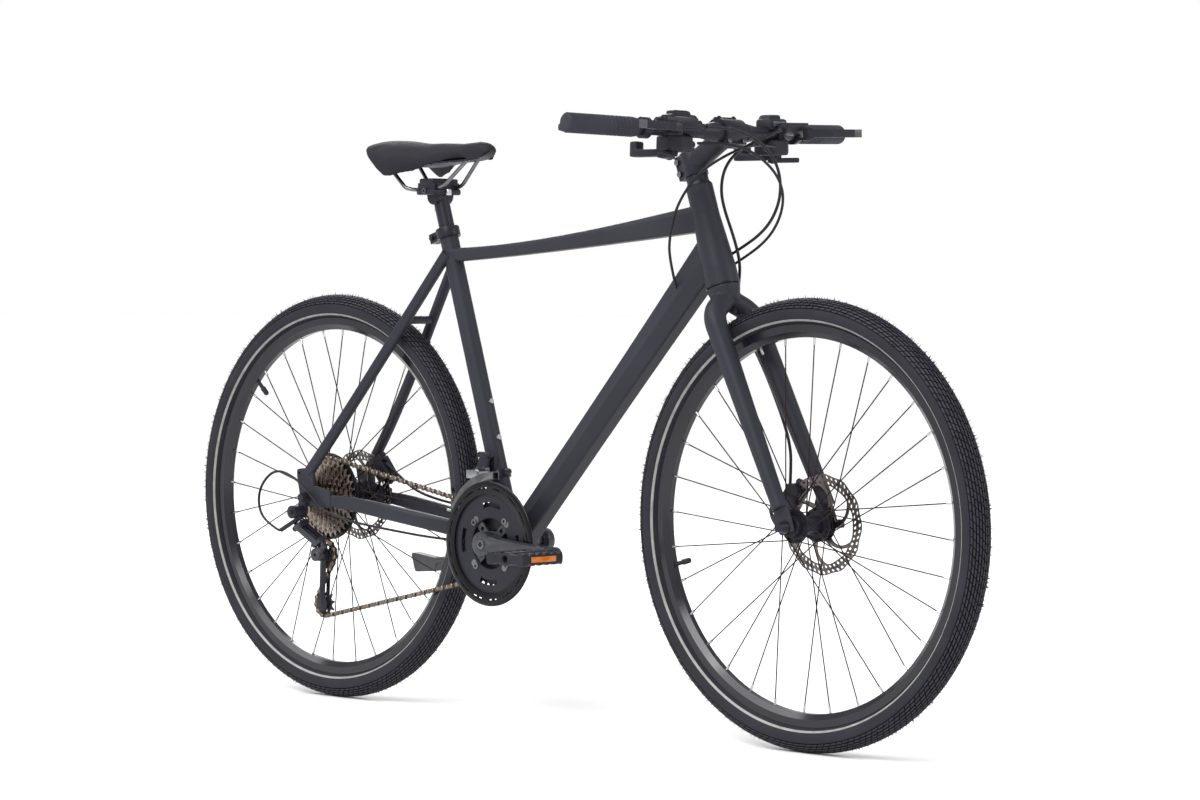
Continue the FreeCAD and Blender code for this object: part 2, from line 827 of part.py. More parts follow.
def saddle_section(share, inset, drop, thick):
    along, wide, crown, depth = share
    x = saddle_nose - saddle_length * along
    half = saddle_half_width * wide - inset
    top = saddle_top - saddle_depth * crown
    low = saddle_top - saddle_depth * depth - drop
    if thick:
        corners = [vec(x, half, low - thick), vec(x, half, low), vec(x, -half, low), vec(x, -half, low - thick)]
        return Part.makePolygon(corners + [corners[0]])
    edge = low + (top - low) * 0.45
    left = vec(x, half, edge)
    right = vec(x, -half, edge)
    foot = half * 0.93
    edges = [Part.Arc(left, vec(x, 0, top), right).toShape(),
             Part.LineSegment(right, vec(x, -foot, low)).toShape(),
             Part.LineSegment(vec(x, -foot, low), vec(x, foot, low)).toShape(),
             Part.LineSegment(vec(x, foot, low), left).toShape()]
    return Part.Wire(edges)


def saddle_rail(side, radius):
    post_top = seat_point(seat_tube_length + seatpost_above) + seat_dir * (post_head_radius)
    level = post_top.z
    spread = rail_spread * side
    back = saddle_nose - saddle_length * 0.87
    front = saddle_nose - saddle_length * 0.17
    rise = saddle_top - saddle_depth * 0.8 - level
    points = [vec(back, spread * 1.7, level + rise * 1.05), vec(back + rise, spread * 1.4, level),
              vec(post_top.x - clamp_length * 0.9, spread, level - rail_radius),
              vec(post_top.x + clamp_length * 0.8, spread, level),
              vec(front, spread * 0.5, level + rise * 1.25)]
    path = route_path(points, [rise * 0.35, rise * 0.6, clamp_length, clamp_length * 1.2][:len(points) - 2])
    return sweep(path, radius, points[0], points[1] - points[0])


def build_saddle():
    cover = Part.makeLoft([saddle_section(s, 0, 0, 0) for s in saddle_stations_shares], True, False)
    sections = [saddle_section(s, saddle_base_inset, 0, saddle_base_thick) for s in saddle_stations_shares]
    base = biggest(Part.makeLoft(sections, True, False).cut(cover))
    rails = [saddle_rail(side, rail_radius) for side in (-1, 1)]
    for rail in rails:
        base = base.cut(rail)
        cover = cover.cut(rail)
    top = seat_point(seat_tube_length + seatpost_above) + seat_dir * post_head_radius
    half = rail_spread + rail_radius + clamp_thick / 2
    wing = block(top + vec(-clamp_length / 2, -half, -clamp_thick * 0.4), vec(clamp_length, half * 2, clamp_thick * 1.5))
    clamp = biggest(wing.cut(build_seatpost()))
    for rail in rails:
        clamp = biggest(clamp.cut(rail))
    bolt = saddle_bolt()
    clamp = biggest(clamp.cut(bolt))
    return biggest(cover), biggest(base), Part.makeCompound(rails + [clamp, bolt])


# Fork and cockpit

def fork_leg(side):
    # Sloping shoulder from the crown, then a straight tapered blade raked forward to the axle.
    top = vec(0, 0, fork_length - crown_height * 0.75)
    corner = vec(shoulder_ahead, shoulder_side * side, fork_length - shoulder_drop)
    foot = vec(fork_rake, leg_bottom_side * side, leg_bottom_up)
    start, middle, end = corner_arc(top, corner, foot, shoulder_radius)
    edges = [Part.LineSegment(top, start).toShape(), Part.Arc(start, middle, end).toShape()]
    shoulder = sweep(Part.Wire(edges), leg_radius_top, top, corner - top)
    blade = cone(end, foot, leg_radius_top, leg_radius_bottom)
    inner = hub_width_front / 2
    tab_side = min(side * inner, side * (inner + fork_tab_thick))
    eye = vec(fork_rake - fork_eyelet_back, 0, fork_eyelet_up)
    tab = [(fork_rake - fork_tab_radius, -axle_slot), (eye.x - eyelet_radius, eye.z - eyelet_radius),
           (eye.x - eyelet_radius, eye.z + eyelet_radius), (fork_rake - leg_radius_bottom, leg_bottom_up * 1.8),
           (fork_rake + leg_radius_bottom * 0.8, leg_bottom_up * 1.8), (fork_rake + fork_tab_radius, axle_slot),
           (fork_rake + fork_tab_radius, -axle_slot)]
    leg = shoulder.fuse(blade)
    body = plate(tab, stay_corner, tab_side, fork_tab_thick).cut(leg)
    far = sideways * overrun
    body = body.cut(rod(eye - far * 3, eye + far * 3, eyelet_bore))
    centre = vec(fork_rake, 0, 0)
    body = body.cut(rod(centre - far * 3, centre + far * 3, axle_slot / 2))
    slot = block(centre + vec(-axle_slot / 2, -overrun * 3, -overrun), vec(axle_slot, overrun * 6, overrun))
    return leg, biggest(body.cut(slot))


def build_fork():
    crown_top = fork_length - cup_lip
    top = head_top + spacer_height + stem_clamp_height
    crown = turned_upright([(0, fork_length - crown_height), (crown_radius * 0.8, fork_length - crown_height),
                            (crown_radius, crown_top - cup_lip * 2), (crown_radius, crown_top),
                            (steerer_radius, crown_top), (steerer_radius, top), (0, top)])
    legs = [fork_leg(side) for side in (-1, 1)]
    body = crown.fuse([leg for leg, tab in legs])
    bore = rod(vec(0, 0, fork_length - crown_height * 2), vec(0, 0, top + overrun), steerer_radius - steerer_wall)
    return Part.makeCompound([in_steer(biggest(body.cut(bore)))] + [in_steer(tab) for leg, tab in legs])


def stem_direction():
    return vec(math.cos(bar_drop), 0, math.sin(bar_drop))


def build_stem():
    low = head_top + spacer_height
    high = low + stem_clamp_height
    ahead = stem_direction()
    middle = vec(0, 0, (low + high) / 2)
    half = sideways * (bar_clamp_width / 2)
    clamp = rod(vec(0, 0, low), vec(0, 0, high), stem_clamp_radius)
    neck = cone(middle, bar_local, stem_body_radius, stem_body_radius * 1.05)
    ring = rod(bar_local - half, bar_local + half, bar_clamp_radius)
    bolt_boss = block(vec(-stem_clamp_radius - stem_bolt_radius * 3, -stem_body_radius * 0.7, low),
                      vec(stem_clamp_radius, stem_body_radius * 1.4, stem_clamp_height))
    bore = rod(vec(0, 0, low - overrun), vec(0, 0, high + overrun), steerer_radius)
    bar_bore = rod(bar_local - half * 3, bar_local + half * 3, bar_centre_radius)
    plane = FreeCAD.Placement(bar_local, FreeCAD.Rotation(sideways, -stem_rise))
    front = block(vec(faceplate_gap / 2, -bar_clamp_width, -overrun * 2), vec(overrun * 3, bar_clamp_width * 2, overrun * 4))
    front.Placement = plane
    gap = block(vec(-faceplate_gap / 2, -bar_clamp_width, -overrun * 2),
                vec(faceplate_gap, bar_clamp_width * 2, overrun * 4))
    gap.Placement = plane
    ears = block(vec(-stem_bolt_head * 2, -bar_clamp_width / 2, -stem_bolt_offset - stem_bolt_head),
                 vec(stem_bolt_head * 3.4, bar_clamp_width, (stem_bolt_offset + stem_bolt_head) * 2))
    ears.Placement = plane
    cover = ring.fuse(ears).common(front).cut(bar_bore)
    above = rod(vec(0, 0, high), vec(0, 0, high + overrun), stem_clamp_radius)
    body = clamp.fuse([neck, ring, bolt_boss, ears]).cut(bore).cut(bar_bore).cut(front).cut(gap).cut(above)
    rear_bolts, face_bolts = stem_bolts()
    for bolt in rear_bolts + face_bolts:
        body = body.cut(bolt)
        cover = cover.cut(bolt)
    return Part.makeCompound([in_steer(biggest(body)), in_steer(biggest(cover))])


def stem_bolts():
    low = head_top + spacer_height
    ahead = stem_direction()
    up = vec(-ahead.z, 0, ahead.x)
    rear = []
    for share in (0.25, 0.75):
        centre = vec(-stem_clamp_radius - stem_bolt_radius, 0, low + stem_clamp_height * share)
        half = sideways * (stem_body_radius * 0.7)
        head = sideways * stem_bolt_head
        bolt = rod(centre - half, centre + half, stem_bolt_radius)
        rear.append(bolt.fuse(rod(centre - half - head, centre - half, stem_bolt_head)))
    face = []
    for side in (-1, 1):
        for lift in (-1, 1):
            centre = bar_local + sideways * (stem_bolt_spread * side) + up * (stem_bolt_offset * lift)
            tip = centre - ahead * (stem_bolt_head * 1.8)
            front = centre + ahead * (stem_bolt_head * 1.4)
            bolt = rod(tip, front, stem_bolt_radius)
            face.append(bolt.fuse(rod(front, front + ahead * stem_bolt_head, stem_bolt_head)))
    return rear, face


def build_stem_hardware():
    # Headset cover, spacers, top cap and the stem's bolts.
    cover_top = head_top + body_gap + spacer_height * 0.35
    cover = turned_upright([(steerer_radius, head_top + body_gap), (head_radius_top, head_top + body_gap),
                            (spacer_radius, cover_top), (steerer_radius, cover_top)])
    pieces = [cover]
    low = cover_top
    for share in (0.5, 1.0):
        high = cover_top + (head_top + spacer_height - cover_top) * share
        pieces.append(turned_upright([(steerer_radius, low), (spacer_radius, low), (spacer_radius, high),
                                      (steerer_radius, high)]))
        low = high
    top = head_top + spacer_height + stem_clamp_height
    cap = turned_upright([(0, top), (stem_clamp_radius * 0.9, top), (stem_clamp_radius * 0.8, top + cup_lip),
                          (0, top + cup_lip)])
    bolt = rod(vec(0, 0, top + cup_lip), vec(0, 0, top + cup_lip * 2), stem_bolt_head)
    rear, face = stem_bolts()
    return Part.makeCompound([in_steer(piece) for piece in pieces + [cap, bolt] + rear + face])


bar_turn = FreeCAD.Rotation(upward, bar_back_sweep).multiply(FreeCAD.Rotation(forward, bar_up_sweep))
bar_bend = bar_at + sideways * bar_bend_side
bar_place = FreeCAD.Placement(bar_bend, bar_turn)
bar_run = (bar_half_width - bar_bend_side) / math.cos(math.radians(bar_back_sweep))


def on_bar(shape):
    # From the frame of the left bar end: Y along the bar outwards, X forward, Z up.
    moved = shape.copy()
    moved.Placement = bar_place.multiply(moved.Placement)
    return moved


def both_sides(left):
    return Part.makeCompound([left, mirrored(left)])


def build_handlebar():
    end = bar_place.multVec(vec(0, bar_run, 0))
    other = vec(end.x, -end.y, end.z)
    points = [other, vec(bar_bend.x, -bar_bend.y, bar_bend.z), bar_bend, end]
    path = route_path(points, [bar_bend_radius, bar_bend_radius])
    heading = points[1] - points[0]
    bulge = turned([(0, -bar_bulge_end), (bar_radius, -bar_bulge_end), (bar_centre_radius, -bar_bulge_side),
                    (bar_centre_radius, bar_bulge_side), (bar_radius, bar_bulge_end), (0, bar_bulge_end)], bar_at)
    outer = sweep(path, bar_radius, points[0], heading).fuse(bulge)
    return biggest(outer.cut(sweep(path, bar_radius - bar_wall, points[0], heading)))


def build_grips():
    end = bar_run + grip_cap
    start = bar_run - grip_length
    step = grip_length / 16
    ribs = [(grip_radius * 0.92, start), (grip_radius, start + step)]
    for i in range(1, 7):
        at = start + step * (1.2 + i * 0.9)
        ribs += [(grip_radius, at), (grip_radius - grip_groove, at + step * 0.15),
                 (grip_radius - grip_groove, at + step * 0.45), (grip_radius, at + step * 0.6)]
    outline = [(0, start)] + ribs + [(grip_radius, end - grip_cap), (grip_radius * 0.8, end), (0, end)]
    barrel = turned(outline, origin)
    wing_start = bar_run - grip_wing_length
    tilt = grip_wing * 0.25
    widths = [(wing_start, 0.3), (wing_start + grip_wing_length * 0.4, 0.8),
              (wing_start + grip_wing_length * 0.75, 1.0), (bar_run - grip_cap, 0.7)]
    rings = []
    for at, share in widths:
        reach = grip_radius + grip_wing * share
        half = grip_wing_thick / 2
        points = [vec(-reach, at, -half * 1.6 - tilt * share), vec(-reach, at, half * 0.2 - tilt * share),
                  vec(0, at, half), vec(0, at, -half * 1.6)]
        rings.append(rounded_outline(points, grip_wing_thick * 0.3))
    wing = Part.makeLoft(rings, True, False)
    bore = rod(vec(0, start - overrun, 0), vec(0, bar_run, 0), bar_radius)
    return both_sides(on_bar(biggest(barrel.fuse(wing).cut(bore))))


def build_brake_bodies():
    # Band clamp, slanted master cylinder in front of the bar and two ears for the lever's pin.
    half = lever_clamp_width / 2
    band = rod(vec(0, lever_clamp_at - half, 0), vec(0, lever_clamp_at + half, 0), lever_clamp_radius)
    inner = vec(cylinder_ahead, cylinder_inner, cylinder_lift)
    outer = vec(cylinder_ahead - cylinder_radius / 2, cylinder_outer, cylinder_lift)
    tank = cone(inner, outer, cylinder_radius * 0.85, cylinder_radius)
    arm = rod(vec(0, lever_clamp_at, 0), vec(cylinder_ahead, lever_clamp_at - half, cylinder_lift), half)
    lid = plate_level([(cylinder_ahead - cylinder_radius, cylinder_inner + half),
                       (cylinder_ahead + cylinder_radius * 0.8, cylinder_inner + half),
                       (cylinder_ahead + cylinder_radius * 0.8, cylinder_outer - half),
                       (cylinder_ahead - cylinder_radius * 1.3, cylinder_outer - half)], cylinder_radius * 0.5,
                      cylinder_lift, cylinder_radius * 1.1)
    spout = rod(inner - sideways * half, inner, hose_radius * 1.7)
    pivot = vec(lever_pivot_ahead, lever_pivot_at, 0)
    gap = lever_blade_tall / 2 + body_gap / 2
    ears = []
    for low in (-gap - lever_ear, gap):
        reach = lever_pivot_radius * 2.4
        outline = [(cylinder_ahead - cylinder_radius / 2, lever_pivot_at - reach),
                   (lever_pivot_ahead + reach, lever_pivot_at - reach),
                   (lever_pivot_ahead + reach, lever_pivot_at + reach),
                   (cylinder_ahead - cylinder_radius / 2, lever_pivot_at + reach * 1.4)]
        ears.append(plate_level(outline, reach * 0.6, low, lever_ear))
    spine = block(vec(cylinder_ahead - cylinder_radius / 2, lever_pivot_at - lever_pivot_radius * 2, -gap - lever_ear),
                  vec(lever_pivot_radius * 2, lever_pivot_radius * 5, (gap + lever_ear) * 2))
    pin = rod(pivot - upward * (gap + lever_ear), pivot + upward * (gap + lever_ear), lever_pivot_radius)
    body = band.fuse([tank, arm, lid, spout, pin, spine] + ears)
    bore = rod(vec(0, lever_clamp_at - half * 2, 0), vec(0, lever_clamp_at + half * 2, 0), bar_radius)
    return both_sides(on_bar(biggest(body.cut(bore))))


def plate_level(points, radius, low, thick):
    wire = rounded_outline([vec(x, y, low) for x, y in points], radius)
    return Part.Face(wire).extrude(upward * thick)


def brake_lever_left():
    # Blade that leaves the pivot forwards, then runs outwards along the bar with a hooked tip.
    reach = lever_pivot_radius * 2.2
    pivot_x = lever_pivot_ahead
    thick = lever_blade_thick
    knee = lever_pivot_at + (lever_tip_at - lever_pivot_at) * 0.25
    outline = [(pivot_x - reach * 0.8, lever_pivot_at - reach), (pivot_x + reach, lever_pivot_at - reach),
               (lever_tip_ahead - thick, knee), (lever_tip_ahead, lever_tip_at - thick * 2),
               (lever_tip_ahead + thick, lever_tip_at), (lever_tip_ahead - thick * 0.4, lever_tip_at),
               (lever_tip_ahead - thick * 1.2, lever_tip_at - thick * 2),
               (lever_tip_ahead - thick * 2.6, knee + thick), (pivot_x - reach * 0.2, lever_pivot_at + reach)]
    blade = plate_level(outline, thick * 0.25, -lever_blade_tall / 2, lever_blade_tall)
    pivot = vec(lever_pivot_ahead, lever_pivot_at, 0)
    hole = rod(pivot - upward * overrun, pivot + upward * overrun, lever_pivot_radius + running_fit)
    return on_bar(biggest(blade.cut(hole)))


def shifter_pod():
    low = -pod_drop - pod_tall / 2
    outline = [(-pod_depth * 0.5, shifter_clamp_at - pod_length * 0.5), (pod_depth * 0.3, shifter_clamp_at - pod_length * 0.5),
               (pod_depth * 0.5, shifter_clamp_at), (pod_depth * 0.3, shifter_clamp_at + pod_length * 0.32),
               (-pod_depth * 0.5, shifter_clamp_at + pod_length * 0.32)]
    return plate_level(outline, pod_depth * 0.12, low, pod_tall)


def build_shifter_bodies():
    # Pod under the bar with a band clamp, and a gear window in front of and above the bar.
    half = shifter_clamp_width / 2
    band = rod(vec(0, shifter_clamp_at - half, 0), vec(0, shifter_clamp_at + half, 0), lever_clamp_radius * 0.9)
    neck = block(vec(-half, shifter_clamp_at - half, -pod_drop), vec(half * 2, half * 2, pod_drop))
    start = bar_bulge_end * 0.06
    wedge = [(start, lever_clamp_radius * 0.75), (start + display_length * 0.3, lever_clamp_radius * 0.75 + display_tall),
             (start + display_length, lever_clamp_radius * 0.75 + display_tall),
             (start + display_length, lever_clamp_radius * 0.75)]
    corners = [vec(-display_depth * 0.45, y, z) for y, z in wedge]
    window = Part.Face(Part.makePolygon(corners + [corners[0]])).extrude(forward * display_depth * 0.7)
    body = band.fuse([neck, shifter_pod(), window])
    barrel_at = vec(pod_depth * 0.05, shifter_clamp_at - pod_length * 0.5, -pod_drop)
    body = body.fuse(rod(barrel_at - sideways * half * 1.8, barrel_at, housing_radius * 2))
    pivot = shift_pivot()
    pin_end = pivot - upward * (pod_drop + pod_tall / 2 + body_gap * 3 + thumb_thick * 1.8)
    body = body.fuse(rod(pivot - upward * pod_drop, pin_end, lever_pivot_radius))
    body = body.fuse(rod(pin_end, pin_end - upward * body_gap * 2, lever_pivot_radius * 1.6))
    bore = rod(vec(0, -overrun, 0), vec(0, shifter_clamp_at + pod_length, 0), bar_radius)
    return both_sides(on_bar(biggest(body.cut(bore))))


def shift_pivot():
    return vec(-pod_depth * 0.12, shifter_clamp_at + pod_length * 0.06, 0)


def shift_hole():
    return rod(shift_pivot() - upward * (overrun * 3), shift_pivot(), lever_pivot_radius + running_fit)


def thumb_lever_left():
    # Paddle under the pod that turns on an upright pin and reaches back, with a raised pad for the thumb.
    pivot = shift_pivot()
    low = -pod_drop - pod_tall / 2 - body_gap - thumb_thick
    half = thumb_width / 2
    tip = pivot + vec(-thumb_back, thumb_side, 0)
    outline = [(pivot.x + half, pivot.y - half), (pivot.x + half, pivot.y + half), (pivot.x - half, pivot.y + half * 1.6),
               (tip.x + half * 1.5, tip.y + half), (tip.x, tip.y + half), (tip.x - half, tip.y - half),
               (tip.x + half * 1.5, tip.y - half), (pivot.x - half, pivot.y - half)]
    arm = plate_level(outline, half * 0.3, low, thumb_thick)
    pad = [(tip.x + half * 1.5, tip.y + half), (tip.x, tip.y + half), (tip.x - half, tip.y - half),
           (tip.x + half * 0.6, tip.y - half)]
    raised = plate_level(pad, half * 0.25, low, thumb_pad)
    return on_bar(arm.fuse(raised).cut(shift_hole()).removeSplitter())


def release_lever_left():
    # Small trigger on the front of the pod, in a second layer under the thumb lever.
    pivot = shift_pivot()
    low = -pod_drop - pod_tall / 2 - body_gap * 2 - thumb_thick * 1.8
    half = thumb_width / 3
    tip = pivot + vec(pod_depth * 0.55, release_reach, 0)
    outline = [(pivot.x - half, pivot.y - half), (pivot.x + half, pivot.y - half), (tip.x, tip.y - half * 1.5),
               (tip.x + half, tip.y), (tip.x - half, tip.y + half), (pivot.x - half, pivot.y + half)]
    return on_bar(plate_level(outline, half * 0.3, low, thumb_thick * 0.8).cut(shift_hole()))


# Brakes

def caliper(centre, reach):
    # Two halves either side of the rotor with a pad in each, bolted through two feet.
    # The reach points from the axle to the caliper; the slot is open towards the axle.
    along = sideways.cross(reach).normalize()
    out = reach.normalize()
    place = FreeCAD.Placement(FreeCAD.Matrix(along.x, 0, out.x, centre.x, 0, 1, 0, centre.y, along.z, 0, out.z, centre.z,
                                             0, 0, 0, 1))
    body = block(vec(-caliper_length / 2, -caliper_width * 0.4, -caliper_depth / 2),
                 vec(caliper_length, caliper_width * 0.9, caliper_depth))
    edges = [edge for edge in body.Edges if abs(edge.tangentAt(edge.FirstParameter).y) > 0.5]
    body = body.makeFillet(caliper_depth / 4, edges)
    slot = block(vec(-caliper_length, -caliper_slot / 2, -caliper_depth), vec(caliper_length * 2, caliper_slot, caliper_depth * 1.72))
    window = block(vec(-pad_size / 2, -caliper_width * 0.22, -caliper_depth), vec(pad_size, caliper_width * 0.44, caliper_depth * 1.5))
    feet = []
    for end in (-1, 1):
        foot = rod(vec(end * caliper_length * 0.55, caliper_width * 0.3, -caliper_depth * 0.3),
                   vec(end * caliper_length * 0.55, caliper_width * 0.3, caliper_depth * 0.3), caliper_bolt * 2)
        feet.append(foot)
    holes = [rod(vec(end * caliper_length * 0.55, caliper_width * 0.3, -caliper_depth),
                 vec(end * caliper_length * 0.55, caliper_width * 0.3, caliper_depth), caliper_bolt) for end in (-1, 1)]
    body = body.fuse(feet).cut(slot).cut(window)
    bolts = []
    for hole, end in zip(holes, (-1, 1)):
        body = body.cut(hole)
        foot = vec(end * caliper_length * 0.55, caliper_width * 0.3, 0)
        bolt = rod(foot - upward * (caliper_depth * 0.62), foot + upward * (caliper_depth * 0.3), caliper_bolt)
        bolts.append(bolt.fuse(rod(foot + upward * (caliper_depth * 0.3), foot + upward * (caliper_depth * 0.45),
                                   caliper_bolt * 1.6)))
    pads = []
    for side in (-1, 1):
        low = caliper_slot / 2 - pad_thick if side > 0 else -caliper_width * 0.22
        deep = caliper_width * 0.22 - caliper_slot / 2 + pad_thick
        pads.append(block(vec(-pad_size / 2, low, -caliper_depth / 2), vec(pad_size, deep, caliper_depth * 0.8)))
    pieces = body.Solids + bolts + pads
    return Part.makeCompound([moved(piece, place) for piece in pieces])


def moved(shape, place):
    copy = shape.copy()
    copy.Placement = place.multiply(copy.Placement)
    return copy


def rotor(centre, side):
    # Wave-edged disc with slotted track, carried by slanted arms on a bolted centre.
    low = side - rotor_thick / 2
    disc = turned([(rotor_hub * 0.55, low), (rotor_radius, low), (rotor_radius, low + rotor_thick),
                   (rotor_hub * 0.55, low + rotor_thick)], centre)
    arm_gap = 360.0 / rotor_arms
    inner = rotor_hub * 1.05
    outer = rotor_radius - rotor_track
    window = sector(centre, inner, outer, arm_gap * 0.62, low - overrun, rotor_thick + overrun * 2)
    cuts = ring_of(window, centre, rotor_arms)
    start = centre + sideways * (low - overrun)
    reach = sideways * (rotor_thick + overrun * 2)
    wave = start + forward * (rotor_radius + rotor_hole * 1.4)
    cuts += ring_of(rod(wave, wave + reach, rotor_hole * 2.2), centre, rotor_holes // 2)
    for share in (0.3, 0.7):
        hole = start + forward * (rotor_radius - rotor_track * share)
        cuts += ring_of(rod(hole, hole + reach, rotor_hole), centre, rotor_holes // 2, share * 360.0 / rotor_holes * 2)
    bolt_at = start + forward * rotor_bolt_circle
    cuts += ring_of(rod(bolt_at, bolt_at + reach, rotor_bolt), centre, rotor_arms)
    disc = disc.cut(cuts)
    head = centre + forward * rotor_bolt_circle + sideways * low
    bolt = rod(head, head + sideways * rotor_thick, rotor_bolt)
    bolt = bolt.fuse(rod(head + sideways * rotor_thick, head + sideways * (rotor_thick + rotor_bolt), rotor_bolt * 1.6))
    return Part.makeCompound([biggest(disc)] + ring_of(bolt, centre, rotor_arms))


def sector(centre, inner, outer, span, low, thick):
    # Curved window between two radii, centred on the forward direction.
    def at(radius, angle):
        turn = math.radians(angle)
        return centre + vec(radius * math.cos(turn), low, radius * math.sin(turn))
    half = span / 2
    edges = [Part.Arc(at(inner, -half), at(inner, 0), at(inner, half)).toShape(),
             Part.LineSegment(at(inner, half), at(outer, half)).toShape(),
             Part.Arc(at(outer, half), at(outer, 0), at(outer, -half)).toShape(),
             Part.LineSegment(at(outer, -half), at(inner, -half)).toShape()]
    return Part.Face(Part.Wire(edges)).extrude(sideways * thick)


# Wheels

def flipped(point):
    return vec(point.x, -point.y, 0)


def tyre_section(half_width, crown, neck_half, neck_radius, centre):
    # Points for arcs from the left neck, just above the rim's lip, over the crown to the right neck.
    widest = (crown + bead_radius) / 2
    neck = vec(neck_radius, neck_half, 0)
    side = vec(widest, half_width, 0)
    lower = vec(neck_radius + (widest - neck_radius) * 0.38, neck_half + (half_width - neck_half) * 0.72, 0)
    upper = vec(widest + (crown - widest) * 0.72, half_width * 0.69, 0)
    half = [neck, lower, side, upper]
    return [centre + p for p in half + [vec(crown, 0, 0)] + [flipped(p) for p in half[::-1]]]


def tyre_and_tube(centre, valve_angle):
    half = tyre_width / 2
    foot = rim_width / 2 - rim_wall - seat_gap
    neck = bead_radius + rim_lip + seat_gap
    outer = tyre_section(half, tyre_radius, foot, neck, centre)
    inner = tyre_section(half - tyre_wall, tyre_radius - tread_thick, foot - tyre_wall, neck, centre)
    bead = bead_radius + rim_lip * 0.2
    right = [centre + vec(bead, -foot, 0), centre + vec(bead, tyre_wall - foot, 0)]
    left = [centre + vec(bead, foot - tyre_wall, 0), centre + vec(bead, foot, 0)]
    edges = arcs_through(outer) + lines_through([outer[-1]] + right + [inner[-1]])
    edges += arcs_through(inner[::-1]) + lines_through([inner[0]] + left + [outer[0]])
    tyre = Part.Face(Part.Wire(edges)).revolve(centre, sideways, 360)
    ring = (tyre_radius - tread_thick + bead_radius + rim_lip) / 2
    fat = (tyre_radius - tread_thick - bead_radius - rim_lip) / 2 - seat_gap * 2
    ring_tube = Part.makeTorus(ring, fat, centre, sideways)
    stem_start = centre + vec(ring - fat * 0.9, 0, 0)
    stem_end = centre + vec(rim_bed_radius - valve_length * 0.7, 0, 0)
    stem = rod(stem_start, stem_end, valve_radius)
    cap = rod(stem_end + vec(valve_length * 0.3, 0, 0), stem_end, valve_radius * 1.25)
    hollow = Part.makeTorus(ring, fat - tube_wall_thick, centre, sideways)
    bore = rod(centre + vec(ring, 0, 0), stem_end - vec(overrun, 0, 0), valve_bore)
    tube = ring_tube.fuse(stem).fuse(cap).cut(hollow).cut(bore)
    tube.rotate(centre, sideways, -valve_angle)
    return Part.makeCompound([tyre, biggest(tube)])


def lines_through(points):
    return [Part.LineSegment(a, b).toShape() for a, b in zip(points, points[1:])]


def arcs_through(points):
    edges = []
    for i in range(0, len(points) - 2, 2):
        edges.append(Part.Arc(points[i], points[i + 1], points[i + 2]).toShape())
    return edges


def rim(centre, valve_angle, ends):
    # Double-walled rim: hooked lips, a well for the bead and a narrow spoke bed.
    half = rim_width / 2
    lip_top = bead_radius + rim_lip
    shoulder = bead_radius - rim_lip
    outline = [(rim_bed_radius, -rim_bed_half), (shoulder, -half), (lip_top, -half), (lip_top, -half + rim_wall),
               (bead_radius - rim_wall, -half + rim_wall), (shoulder - rim_wall, 0),
               (bead_radius - rim_wall, half - rim_wall), (lip_top, half - rim_wall), (lip_top, half),
               (shoulder, half), (rim_bed_radius, rim_bed_half)]
    body = turned(outline, centre)
    chamber_half = half - rim_wall * 2
    chamber = turned([(rim_bed_radius + rim_wall, -rim_bed_half + rim_wall), (shoulder - rim_wall, -chamber_half),
                      (shoulder - rim_wall * 2.2, 0), (shoulder - rim_wall, chamber_half),
                      (rim_bed_radius + rim_wall, rim_bed_half - rim_wall)], centre)
    cuts = [chamber]
    hole = rod(centre + vec(rim_bed_radius - overrun, 0, 0), centre + vec(lip_top + overrun, 0, 0),
               valve_radius + slide_fit)
    hole.rotate(centre, sideways, -valve_angle)
    cuts.append(hole)
    for start, end in ends:
        heading = (end - start).normalize()
        cuts.append(rod(end - heading * nipple_length, end + heading * rim_wall, nipple_radius + running_fit))
    return biggest(body.cut(cuts))


def spoke_ends(centre, left_side, right_side, first):
    # Pairs of points: the spoke's bend at the flange and its nipple's head in the rim.
    pairs = []
    per_flange = spoke_count // 2
    step = 360.0 / per_flange
    for flange, side in enumerate((left_side, -right_side)):
        shift = first + flange * step / 2
        for i in range(per_flange):
            lead = 1 if i % 2 else -1
            hub_turn = math.radians(shift + i * step)
            rim_turn = math.radians(shift + i * step + lead * spoke_crossings * step)
            out = 1 if side > 0 else -1
            stand_off = elbow_gap if lead > 0 else seat_gap
            offset = out * lead * (flange_thick / 2 + spoke_radius + stand_off)
            start = centre + vec(flange_circle * math.cos(hub_turn), side + offset, flange_circle * math.sin(hub_turn))
            reach = rim_bed_radius + rim_wall
            end = centre + vec(reach * math.cos(rim_turn), out * rim_bed_half * 0.3, reach * math.sin(rim_turn))
            pairs.append((start, end, side))
    return pairs


def spokes(pairs):
    solids = []
    for start, end, side in pairs:
        heading = (end - start).normalize()
        wire = rod(start, end - heading * (nipple_length * 0.5), spoke_radius)
        nipple = rod(end - heading * nipple_length, end, nipple_radius)
        across = vec(0, side - start.y, 0)
        head = rod(start, start + across * 1.9, spoke_radius)
        elbow = Part.makeSphere(spoke_radius, start)
        solids.append(wire.fuse([nipple, head, elbow]))
    return Part.makeCompound(solids)


